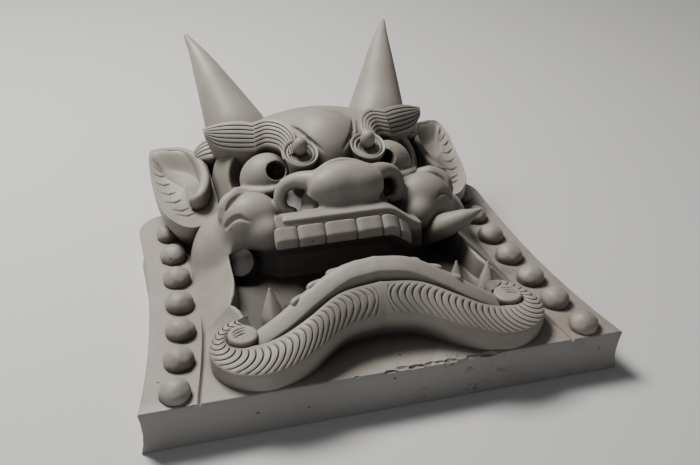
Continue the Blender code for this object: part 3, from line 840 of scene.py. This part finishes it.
# %% Face: nose
face.press(egg((0, 160, 72), (42, 22, 20)), 6, sides=(1,))
face.press(roll(line([(-24, 170, 99), (-12, 175.5, 101.5), (0, 177.5, 102.5), (12, 175.5, 101.5),
                      (24, 170, 99)], 3), (2.0, 3.0, 3.2, 3.0, 2.0)), 1.0, sides=(1,))
face.press(egg((0, 161, 92), (31, 17, 17), (6, 0, 0)), 1.5, sides=(1,))
face.press(egg((15, 154.5, 88.5), (20, 13.5, 14.5), (0, 0, 8)), 7)
face.press(roll(line([(-22, 147, 80), (0, 145.5, 80.5), (22, 147, 80)], 4), (0.8, 1.7, 0.8)), 0.6,
           sides=(1,))
wing = line([(14, 160, 90), (29, 167, 91), (43, 174.5, 89), (53.5, 177, 82), (57.5, 175, 71),
             (54.5, 171, 62), (47, 168, 60.5)], 4)
face.cut(roll(line([(45, 170, 82), (43, 162, 76), (30, 150, 76)], 4), (6.0, 8.0, 5.0)), 2.0)
face.press(roll(wing, (11.0, 9.6, 7.2, 6.2, 5.9, 5.8, 4.2)), 3.0)
print("nose pressed on")

# %% Face: knife cuts in the flesh


def stroke(points):
    """A knife's path along the skin, from places seen from the front."""
    return [(x, y, face.skin_height(x, y)) for x, y in line(points, 5)]


face.press(roll(line([(112, 178, 58), (109, 182, 65), (104, 186.5, 69.5), (95, 191, 73),
                      (86, 195, 72)], 5), (3.0, 5.0, 5.5, 5.0, 3.0)), 5)
face.cut(roll(line([(108, 174.5, 64), (103.8, 177.4, 69), (98.8, 180.2, 72.7),
                    (90.4, 184.6, 76), (82.5, 189, 75.5)], 5), (0.5, 2.4, 2.9, 2.3, 0.5)), 0.4)
face.cut(roll(line([(116.3, 160.1, 45.1), (110.3, 166.6, 53), (103.9, 164.6, 61.8),
                    (97, 162, 65), (88.9, 157.4, 61.8)], 5), (0.5, 2.0, 2.8, 2.6, 0.6)), 0.4)
face.cut(roll(stroke([(33, 254), (28, 232), (21, 213), (8, 199)]), (0.3, 2.4, 3.0, 0.4)), 0.4)
face.cut(roll(line([(-18, 175, 103), (0, 179.5, 106), (18, 175, 103)], 4), (0.3, 1.0, 0.3)), 0.3,
         sides=(1,))
face.cut(egg(*HEAD_HOLLOW), 0.5, sides=(1,))
print("flesh cut")

# %% [markdown]
# The surface is read from the block by the rule called surface nets: each cell that the
# surface passes through gets one point, at the mean of its crossings, and neighbours are
# joined by four-sided faces. Decimate then thins what is flat.

# %% Face: read the surface


def read_surface(clay):
    """Points and four-sided faces on the surface of the clay."""
    floor = -4 - clay.axes[2][None, None, :]
    field = np.maximum(clay.field, floor)
    inside = field < 0
    corners = [(i, j, k) for i in (0, 1) for j in (0, 1) for k in (0, 1)]
    shape = np.array(field.shape) - 1
    views = [tuple(slice(o, o + n) for o, n in zip(corner, shape)) for corner in corners]
    count = sum(inside[view].astype(np.int8) for view in views)
    cells = np.argwhere((count > 0) & (count < 8))
    values = np.array([field[tuple((cells + corner).T)] for corner in corners])
    total = np.zeros((len(cells), 3))
    hits = np.zeros(len(cells))
    for a in range(8):
        for b in range(a + 1, 8):
            way = np.subtract(corners[b], corners[a])
            if np.abs(way).sum() == 1:
                crossed = (values[a] < 0) != (values[b] < 0)
                t = np.where(crossed, values[a] / np.where(crossed, values[a] - values[b], 1), 0)
                total += crossed[:, None] * (np.array(corners[a]) + t[:, None] * way)
                hits += crossed
    origin = np.array([axis[0] for axis in clay.axes])
    points = origin + (cells + total / hits[:, None]) * clay.step
    index = np.full(shape, -1)
    index[tuple(cells.T)] = np.arange(len(cells))
    faces = []
    for axis in range(3):
        first, second = (axis + 1) % 3, (axis + 2) % 3
        fore = [slice(None)] * 3
        back = [slice(None)] * 3
        fore[axis], back[axis] = slice(1, None), slice(None, -1)
        edges = np.argwhere(inside[tuple(fore)] != inside[tuple(back)])
        edges = edges[(edges[:, first] > 0) & (edges[:, second] > 0)
                      & (edges[:, first] < shape[first]) & (edges[:, second] < shape[second])]
        step_a, step_b = np.eye(3, dtype=int)[first], np.eye(3, dtype=int)[second]
        quad = np.stack([index[tuple((edges - a * step_a - b * step_b).T)]
                         for a, b in ((0, 0), (1, 0), (1, 1), (0, 1))], axis=1)
        solid = inside[tuple(edges.T)]
        faces.append(np.where(solid[:, None], quad, quad[:, ::-1]))
    return points, np.vstack(faces)


def flesh_object(name, clay, material, most):
    """The clay's surface as an object, with no more triangles than asked."""
    points, quads = read_surface(clay)
    data = bpy.data.meshes.new(name)
    data.vertices.add(len(points))
    data.vertices.foreach_set("co", place(points).ravel())
    data.loops.add(quads.size)
    data.loops.foreach_set("vertex_index", quads.ravel())
    data.polygons.add(len(quads))
    data.polygons.foreach_set("loop_start", np.arange(0, quads.size, 4))
    data.update(calc_edges=True)
    data.validate()
    thing = bpy.data.objects.new(name, data)
    bpy.context.scene.collection.objects.link(thing)
    soften = thing.modifiers.new("soften", "SMOOTH")
    soften.factor, soften.iterations = 0.5, 2
    thin = thing.modifiers.new("thin", "DECIMATE")
    thin.ratio = min(1.0, most / (2 * len(quads)))
    mesh = applied(thing)
    mesh.materials.append(material)
    mesh.shade_smooth()
    mesh.set_sharp_from_angle(angle=math.radians(70))
    return settle(thing)


flesh_object("face", face, flesh_clay, 190000)

# %% [markdown]
# Six worn front teeth fill the upper jaw without a gap. Each is a slanted block: its lit front
# leans back under the lip, and its bite stands upright below a soft arris. The lower ones are
# only a scalloped row along the far side of the lower lip. The tusk on the right is whole, and
# the left one is broken off short, so its stump lies in the mouth's painted shade.

# %% Teeth, fangs and tusks
teeth = Piece("teeth", face_clay)


def tooth(left, right, drop):
    """A slanted, rounded block between two places across the jaw."""
    rings = []
    for ring in ball_rings(56, 40, 9):
        u, v, w = ring.T
        x = (left + right) / 2 + u * ((right - left) / 2 + 0.1)
        sag = drop + 1.6 * u ** 4 + jaw_sink(x)
        rings.append(np.column_stack([x, 116.8 + 5.0 * v + 0.25 * jaw_sink(x) + 1.2 * u ** 4,
                                      66.6 + 4.1 * v + 4.7 * w - sag]))
    teeth.skin(rings, sides=(1,))


for left, right, drop in ((-74.5, -54.4, 0.2), (-54.4, -29.6, 0.2), (-29.6, -0.8, 0),
                          (-0.8, 23, 0), (23, 40, 0.2), (40, 52, 0.6)):
    tooth(left, right, drop)
for x, y, h, half, turn in ((11, 72.3, 57.6, 10.8, -2), (32, 69.5, 54.8, 10.4, -8),
                            (51, 64.4, 48.6, 9.6, -20), (67.5, 57.2, 41, 9.0, -30)):
    teeth.cushion((x, y, h), (half, 3.6, 5.6), 3.2, (-20, 0, turn), (40, 28))
teeth.tube(line([(84, 77, 0), (85, 84, 16), (86, 90.5, 34)], 6), spread(13, 13.5, 11, 6.5, 1.2),
           power=1.6, up=(0.3, -1, 0), round_tip=True)
teeth.tube(line([(108, 72, 0), (112, 79, 16), (115, 86, 32)], 6), spread(13, 12.5, 10, 6, 1.2),
           power=1.6, up=(0.3, -1, 0), sides=(1,), round_tip=True)
tusk_line = line([(80, 161, 20), (88, 150, 32), (97, 141, 42), (111, 135.5, 51), (125, 134, 58)], 8)
teeth.tube(tusk_line, spread(33, 11.5, 11.8, 11.2, 8, 1.6),
           spread(33, 11.5, 11.5, 10.8, 7.6, 1.4), up=(0.2, -0.9, 0.3), sides=(1,),
           round_tip=True, power=2.2)
teeth.done(48)

# %% The broken tusk
# The stump takes the material that has the mouth's painted shade.
stub = Piece("broken_tusk", flesh_clay)
stub_line = line([(92, 169, 8), (97, 160, 17), (101, 151.5, 24.5)], 6)
stub.tube(stub_line, spread(13, 13, 13.4, 13.2), spread(13, 13, 13.4, 13.2), 56, sides=(-1,))
stub.done()

# %% [markdown]
# The lower lip is a smooth band that runs from curl to curl, high in the middle. Its section
# is set square to its path: a nearly flat top, a crisp front arris and a slanting front face.

# %% Lower lip
lip = Piece("lower_lip", face_clay)
half_crest = line([(0, 70, 66), (30, 67, 62.5), (60, 58, 50), (85, 50, 36), (108, 46.5, 23)], 14)
crest = np.vstack([half_crest[:0:-1] * (-1, 1, 1), half_crest])
ways = np.gradient(crest, axis=0)
rings = []
for centre, way in zip(crest, ways):
    out = np.array((way[1], -way[0], 0)) / np.hypot(way[0], way[1])
    section = [(14.2, -15), (13.4, -9.5), (12.7, -6.0), (12.3, -5.0), (11.6, -4.3), (8, -2.5),
               (3, -0.5), (-0.5, 0.3), (-2.8, -0.2), (-4.2, -1.8), (-4.6, -12)]
    ring = [centre + out * across + (0, 0, rise) for across, rise in section]
    ring.append(np.array((*(centre + out * -4.6)[:2], -4)))
    ring.append(np.array((*(centre + out * 14.2)[:2], -4)))
    rings.append(ring)
lip.skin(rings, sides=(1,))
lip.done(38)

# %% [markdown]
# The beard is one band of clay that curls round a button at each end. A knife combs it with
# tapering cuts, each a bow that bulges towards the parting. A grid whose columns follow those
# bows gives clean cuts with few faces, where a plain grid would leave them ragged.

# %% Beard: the band and its combed cuts
inner = [(0, 52, 54), (35, 49, 50), (65, 35, 41), (86, 31, 31), (101, 31.5, 25), (112, 33.5, 22),
         (122, 35, 21), (130, 41, 20), (131, 50, 20), (124, 58.5, 20), (109, 59.5, 21)]
outer = [(0, 33, 33), (33, 28, 31), (68, 9, 24.5), (92, 1.8, 19), (112, 1.8, 17), (130, 8, 17),
         (143, 22, 17), (147, 40, 17), (140, 60, 17), (127, 73, 18), (108, 77, 19)]
feet = [(0, 50), (33, 43), (68, 14), (92, 4), (112, 2.5), (129, 9), (142, 22), (146, 40),
        (139, 59), (126, 71), (108, 75)]
FINE = 30
band_in, band_out = line(inner, FINE), line(outer, FINE)
band_foot = line([(x, y, -4) for x, y in feet], FINE)
middle = 0.45 * band_in + 0.55 * band_out
reach = np.concatenate([[0], np.cumsum(np.linalg.norm(np.diff(middle, axis=0), axis=1))])
strand_cuts = np.concatenate([np.linspace(9, 0.66 * reach[-1], 21),
                              np.linspace(0.66 * reach[-1], reach[-1] - 4, 11)[1:]])


def on_band(curve_points, travel):
    """The point of an edge curve that is so far along the band's middle."""
    spot = np.interp(travel, reach, np.arange(len(reach)))
    return np.array([np.interp(spot, np.arange(len(reach)), row) for row in curve_points.T]).T


# Columns of the grid stand before, in and after each cut, and on the crown of each strand.
columns = [0.0, 1.5, 3.0, 4.5]
depths = [0.0, 0.0, 0.0, 0.0]
for k, cut in enumerate(strand_cuts):
    gap = strand_cuts[min(k + 1, len(strand_cuts) - 1)] - cut or 4.0
    for offset, share in ((-1.05, 0), (-0.5, 0.55), (0, 1), (0.3, 0.75), (0.75, 0),
                          (0.75 + 0.33 * (gap - 1.8), -0.16), (0.75 + 0.7 * (gap - 1.8), -0.13)):
        columns.append(cut + offset)
        depths.append(share)
columns, depths = np.array(columns), np.array(depths)
keep = columns < reach[-1]
columns, depths = columns[keep], depths[keep]
across = np.concatenate([[0, 0.02, 0.05], np.linspace(0.08, 0.92, 22), [0.95, 0.975, 1.0]])
rows_of_band = []
for v in across:
    bow = (1 - (2 * v - 1) ** 2) * 11 * ease(columns, 0, 16)
    travel = columns - bow + 2.5 * ease(columns, 0, 16)
    top, edge = on_band(band_in, travel), on_band(band_out, travel)
    point = top + (edge - top) * v
    point[:, 2] += 3.0 * 4 * v * (1 - v) - 0.8 * ease(v, 0.97, 1.0)
    taper = ease(v, 0.05, 0.30) * (1 - ease(v, 0.90, 0.995))
    point[:, 2] -= 2.0 * depths * taper
    rows_of_band.append(point)
rows_of_band = np.array(rows_of_band)
edge, foot = rows_of_band[-1], on_band(band_foot, columns + 2.5 * ease(columns, 0, 16))
under = [edge + (0, 0, -1.2), edge * 0.985 + foot * 0.015 + (0, 0, -5),
         0.9 * edge + 0.1 * foot - (0, 0, 7), 0.6 * edge + 0.4 * foot - (0, 0, 4), foot]
root = rows_of_band[0]
inward = (root - rows_of_band[4]) * (1, 1, 0)
inward *= 3 / np.linalg.norm(inward, axis=1)[:, None]
hidden = [root + inward - (0, 0, 6), (root + inward) * (1, 1, 0) + (0, 0, -4)]
sheets = np.array([foot] + under[::-1][1:] + list(rows_of_band[::-1]) + hidden)
half_rings = [sheets[:, k] for k in range(sheets.shape[1])]
beard = Piece("beard", hair_clay)
beard.skin([ring * (-1, 1, 1) for ring in half_rings[:0:-1]] + half_rings, sides=(1,))
print(len(half_rings), "columns a side,", len(strand_cuts), "cuts")

# %% Beard: the buttons in the curls
BUTTON, BUTTON_TOP = np.array((118, 46.5)), 26.0


def circle(middle, radius, height, count=96):
    """A level ring of points."""
    angles = round_angles(count)
    return np.column_stack([middle[0] + radius * np.cos(angles),
                            middle[1] + radius * np.sin(angles), np.full(count, height)])


bows = [line([BUTTON + (9.5, 1 - 3 * k), BUTTON + (4 - k, 5.5 - 3.4 * k),
              BUTTON + (-5 + k, 7.5 - 3.6 * k)], 6) for k in range(3)]
pits = [[BUTTON + pit, BUTTON + pit + (0.8, 0.5)]
        for pit in ((1, -3), (4, -5), (-3, -4), (0, -7), (6, -2))]
rings = []
for radius, height in [(12.6, -4), (12.6, 22), (12.5, 24), (12.0, 25.2), (11.2, 25.7)] + [
        (r, BUTTON_TOP + 0.5 * (1 - (r / 11) ** 2)) for r in np.linspace(10.6, 0.3, 22)]:
    ring = circle(BUTTON, radius, height)
    if height > BUTTON_TOP - 0.5:
        ring = dented(dented(ring, bows, 1.0, 1.6), pits, 0.9, 0.9)
    rings.append(ring)
beard.skin(rings)
beard.done(42)

# %% [markdown]
# The brows are combed locks too. One helper lays strands between an upper and a lower edge,
# with V cuts between them and a smooth belly beneath. The tail, the arch and a short lock at
# the temple all use it. The arch ends in a small bowl of rings round a knob.

# %% Brows


def lock(piece, upper, lower, under, strands, steps, crown, cut, ends=(0.06, 0.06)):
    """A combed lock between two edges; its cuts fade out towards both ends."""
    tops, edges, bellies = (line(points, steps) for points in (upper, lower, under))
    travel = np.linspace(0, 1, len(tops))
    fade = ease(travel, 0, ends[0]) * (1 - ease(travel, 1 - ends[1], 1))
    alongs = np.gradient(0.5 * (tops + edges), axis=0)
    shares = [(0.0, 0.0)]
    for k in range(1, strands):
        shares += [((k - 0.17) / strands, 0), ((k - 0.08) / strands, 0.6), (k / strands, 1),
                   ((k + 0.06) / strands, 0.7), ((k + 0.15) / strands, 0),
                   ((k + 0.5) / strands, -0.18)]
    shares += [(0.5 / strands, -0.18), (0.985, 0.15), (1.0, 0.7)]
    shares.sort()
    rings = []
    for top, edge, belly, along, share in zip(tops, edges, bellies, alongs, fade):
        reach_across = edge - top
        out = np.cross(along, reach_across)
        out /= np.linalg.norm(out)
        out *= np.sign(out[2])
        size = np.linalg.norm(reach_across)
        ring = [top + reach_across * v + out * (crown * size * 4 * v * (1 - v)
                                                - min(cut, 0.5 * size / strands) * d * share)
                for v, d in shares]
        ring += [edge * 0.8 + belly * 0.2 - out * 0.6, edge * 0.4 + belly * 0.6, belly,
                 belly + 0.8 * (top - edge)]
        rings.append(ring)
    piece.skin(rings)


brows = Piece("brows", hair_clay)
lock(brows, [(61, 253.5, 111), (78, 261, 111.5), (94, 268, 108), (111, 272, 102)],
     [(64.5, 235, 90.5), (84, 245, 87), (100, 255.5, 87), (110, 265.5, 94)],
     [(62, 248, 56), (86, 264, 52), (100, 276, 66), (110, 275, 92)],
     7, 16, 0.11, 1.7, (0.001, 0.1))
lock(brows, [(65, 254, 112.5), (51, 254.5, 114.5), (39, 243, 115), (33, 226, 113), (33, 212, 108),
             (34, 203, 103.5)],
     [(68, 233.5, 92), (57, 233, 95.5), (49.5, 222, 98.5), (48.5, 211, 101), (49.5, 201, 102),
      (49, 195, 101)],
     [(66, 246, 74), (54, 244, 74), (42, 232, 78), (38, 220, 80), (37, 206, 82), (34, 198, 82)],
     7, 12, 0.10, 1.6, (0.001, 0.05))
lock(brows, [(88, 303, 73), (98, 304, 75), (109, 302, 73), (119, 295, 67)],
     [(90, 280, 64), (101, 277, 66), (110, 280, 64), (118, 287, 60)],
     [(90, 290, 30), (100, 288, 30), (108, 288, 34), (116, 288, 50)], 5, 10, 0.10, 1.4)
# Each ring of the bowl: its radius and its height, from the root to the inner dish.
bowl = [(7, 58), (9, 76), (11.5, 90), (14.2, 98), (15.9, 102.3), (16.6, 104.2), (16.5, 105.2),
        (15.9, 105.7), (14.8, 105.3), (14.0, 104.3), (13.5, 103.2), (12.9, 104.2), (12.0, 104.5),
        (11.0, 103.8), (10.4, 102.6), (10.0, 101.6), (9.5, 102.4), (8.6, 102.4), (7.6, 101.4),
        (5, 100)]
BOWL, BOWL_TILT = (32.5, 197), 0.34
rings = [circle(BOWL, radius, height, 72) for radius, height in bowl]
for ring, (radius, height) in zip(rings, bowl):
    ring[:, 2] += BOWL_TILT * ease(height, 70, 100) * (ring[:, 1] - BOWL[1])
brows.skin(rings)
brows.cushion((BOWL[0], BOWL[1] + 2, 110), (7.0, 7.0, 9.5), 2.1, (10, 0, 0), (40, 24))
brows.done(42)

# %% [markdown]
# Each ear is a thick leaf of clay with a crisp edge, rolled over into a heavy rim along the top
# and the inner side, where it ends in a hook. The leaf's floor lies deeper beside the rim, with
# a row of short knife cuts along its outer edge. Leaf and rim are two skins that sink into each
# other.

# %% Ears
ears = Piece("ears", face_clay)
# Each point of an ear's edge: x, y, h, and how much wall stands over the floor there, 0 to 1.
ear_line = [(160, 323, 57, 0.6), (163.6, 300, 54, 0), (163.4, 279, 48, 0), (161.5, 249, 42, 0),
            (157, 227, 38, 0), (146, 212.5, 34, 0), (134.5, 207.5, 32, 0), (122.5, 212.5, 31, 0),
            (111.5, 224, 33, 0), (105, 237, 38, 0), (107, 250, 51, 0.8), (108, 264, 57, 1),
            (109.5, 279, 60, 1), (114.5, 294, 61, 1), (124, 308, 61, 1), (137, 318, 60, 1),
            (150, 323.5, 59, 0.9)]
closed = line(ear_line[-1:] + ear_line + ear_line[:2], 22)[22:-22]
WALL_HEIGHT = 14
ear_edge, wall = closed[:-1, :3], WALL_HEIGHT * np.clip(closed[:-1, 3], 0, 1)
heart = np.array((134, 261, 44))
foot = np.column_stack([heart[0] - 6 + 0.66 * (ear_edge[:, 0] - heart[0]),
                        heart[1] + 4 + 0.72 * (ear_edge[:, 1] - heart[1]),
                        np.full(len(ear_edge), -4)])
cut_starts = [(159.5, 313), (161.5, 301), (161.8, 289), (161.6, 277), (160.4, 263), (157, 248),
              (152, 236), (149, 228)]
cut_sizes = [(-6, -7), (-12, -6), (-14, -4), (-16, -4), (-20, -3), (-20, 1), (-20, 1), (-22, 2)]
fan = [[(x, y), (x + 0.55 * dx, y + 0.5 * dy - 3.5), (x + dx, y + dy)]
       for (x, y), (dx, dy) in zip(cut_starts, cut_sizes)]
rings = [foot, heart + (ear_edge - heart) * 0.985 + (0, 0, -13)]
profile = [(0.998, -4), (1.0, -1.0), (0.995, 0.0), (0.98, 0.2)]
profile += [(size, 0.2 - 2.0 * math.sin(math.pi * size)) for size in np.linspace(0.965, 0.02, 80)]
floor_edge = ear_edge - np.outer(wall, (0, 0, 1))
for size, rise in profile:
    ring = heart + (floor_edge - heart) * size + (0, 0, rise)
    ring[:, 2] += wall * ease(size, 0.60, 0.93)
    rings.append(dented(ring, fan, 1.3, 2.4) if 0.3 < size < 0.975 else ring)

EAR_ROOT, RIGHT_EAR_SHARE = (108, 0, 0), (0.88, 1, 1)


def slimmed(points, side):
    """The right ear is a little narrower than the left one."""
    return (points - EAR_ROOT) * RIGHT_EAR_SHARE + EAR_ROOT if side > 0 else points


for side in (1, -1):
    ears.skin([slimmed(ring, side) for ring in rings], sides=(side,))
rim_line = line([(159, 322, 57), (149.2, 322, 59), (139.9, 318, 60), (129.7, 313.8, 61),
                 (121.5, 303, 62), (116.5, 291, 62), (113.6, 275.5, 61), (113.4, 259, 59),
                 (116.8, 245, 56), (121.5, 237, 53), (126.5, 234.5, 50), (130, 236, 48)], 8)
rim_line[:, 2] -= spread(len(rim_line), 5, 7, 8, 9, 9, 8, 5)
for side in (1, -1):
    way = slimmed(rim_line, side)
    ears.tube(way, spread(len(way), 2.8, 3.6, 4.2, 4.8, 5.4, 5.4, 3.4),
              spread(len(way), 5, 8, 9, 10, 10, 9, 6), 40, power=2.8, sides=(side,), round_tip=True)
ears.done(48)

# %% [markdown]
# The horns are plain cones of clay, a little bent, with a rounded tip. They are set into the
# skull behind the brows.

# %% Horns
horns = Piece("horns", face_clay)
horn_line = line([(64, 282, 50), (66, 286, 62), (75, 303, 85), (96, 362, 132),
                  (107.5, 390.5, 151)], 12)
travel = np.concatenate([[0], np.cumsum(np.linalg.norm(np.diff(horn_line, axis=0), axis=1))])
travel /= travel[-1]
horn_widths = np.interp(travel, (0, 0.1, 0.27, 0.5, 0.72, 0.9, 1),
                        (35, 34.5, 30, 21.5, 13.5, 6.2, 2.4))
horns.tube(horn_line, horn_widths, count=64, round_tip=True)
horns.done()

# %% [markdown]
# The camera stands where the photographer's did: the fit of many points of the tile gave its
# place, its turn and its focal length. The light is a soft box high behind the left horn, a
# weak one from the front left, and what the grey floor throws back.

# %% Camera
AZIMUTH, ELEVATION, ROLL = (math.radians(a) for a in (-17.3, 32.5, -1.9))
PHOTO_WIDTH, FOCAL_LENGTH, SENSOR = 700, 955, 36
ahead = Vector((-math.sin(AZIMUTH) * math.cos(ELEVATION), math.cos(AZIMUTH) * math.cos(ELEVATION),
                -math.sin(ELEVATION)))
across_view = ahead.cross(Vector((0, 0, 1))).normalized()
down_view = ahead.cross(across_view)
right_view = math.cos(ROLL) * across_view + math.sin(ROLL) * down_view
low_view = -math.sin(ROLL) * across_view + math.cos(ROLL) * down_view
camera = bpy.data.objects.new("camera", bpy.data.cameras.new("camera"))
camera.data.sensor_width = SENSOR
camera.data.lens = FOCAL_LENGTH * SENSOR / PHOTO_WIDTH
camera.matrix_world = Matrix((right_view, -low_view, -ahead)).transposed().to_4x4()
camera.location = (-0.219, -0.563 + BOTTOM, 0.559)
bpy.context.scene.collection.objects.link(camera)
bpy.context.scene.camera = camera
print("lens", round(camera.data.lens, 1), "mm")

# %% Floor and light
floor_mesh = bmesh.new()
bmesh.ops.create_grid(floor_mesh, x_segments=2, y_segments=2, size=6)
floor_data = bpy.data.meshes.new("floor")
floor_mesh.to_mesh(floor_data)
floor_mesh.free()
floor = bpy.data.objects.new("floor", floor_data)
bpy.context.scene.collection.objects.link(floor)
paper = bpy.data.materials.new("pale_paper")
paper.use_nodes = True
paper.node_tree.nodes["Principled BSDF"].inputs["Base Color"].default_value = (0.50, 0.50, 0.49, 1)
paper.node_tree.nodes["Principled BSDF"].inputs["Roughness"].default_value = 0.9
floor_data.materials.append(paper)


def soft_box(name, position, target, size, power, colour):
    """An area light that looks at a place."""
    lamp = bpy.data.lights.new(name, "AREA")
    lamp.shape, lamp.size, lamp.size_y, lamp.energy, lamp.color = "RECTANGLE", *size, power, colour
    thing = bpy.data.objects.new(name, lamp)
    thing.location = position
    thing.rotation_euler = (Vector(target) - Vector(position)).to_track_quat("-Z", "Y").to_euler()
    bpy.context.scene.collection.objects.link(thing)


soft_box("key", (-0.50, 0.55, 1.35), (0, 0, 0.05), (0.6, 0.5), 44, (1.0, 0.975, 0.94))
soft_box("fill", (-0.9, -1.3, 0.7), (0, 0, 0.05), (1.2, 1.0), 4.5, (0.93, 0.96, 1.0))
world = bpy.data.worlds.new("room")
bpy.context.scene.world = world
world.use_nodes = True
world.node_tree.nodes["Background"].inputs["Color"].default_value = (0.82, 0.84, 0.88, 1)
world.node_tree.nodes["Background"].inputs["Strength"].default_value = 0.10
print("studio ready")
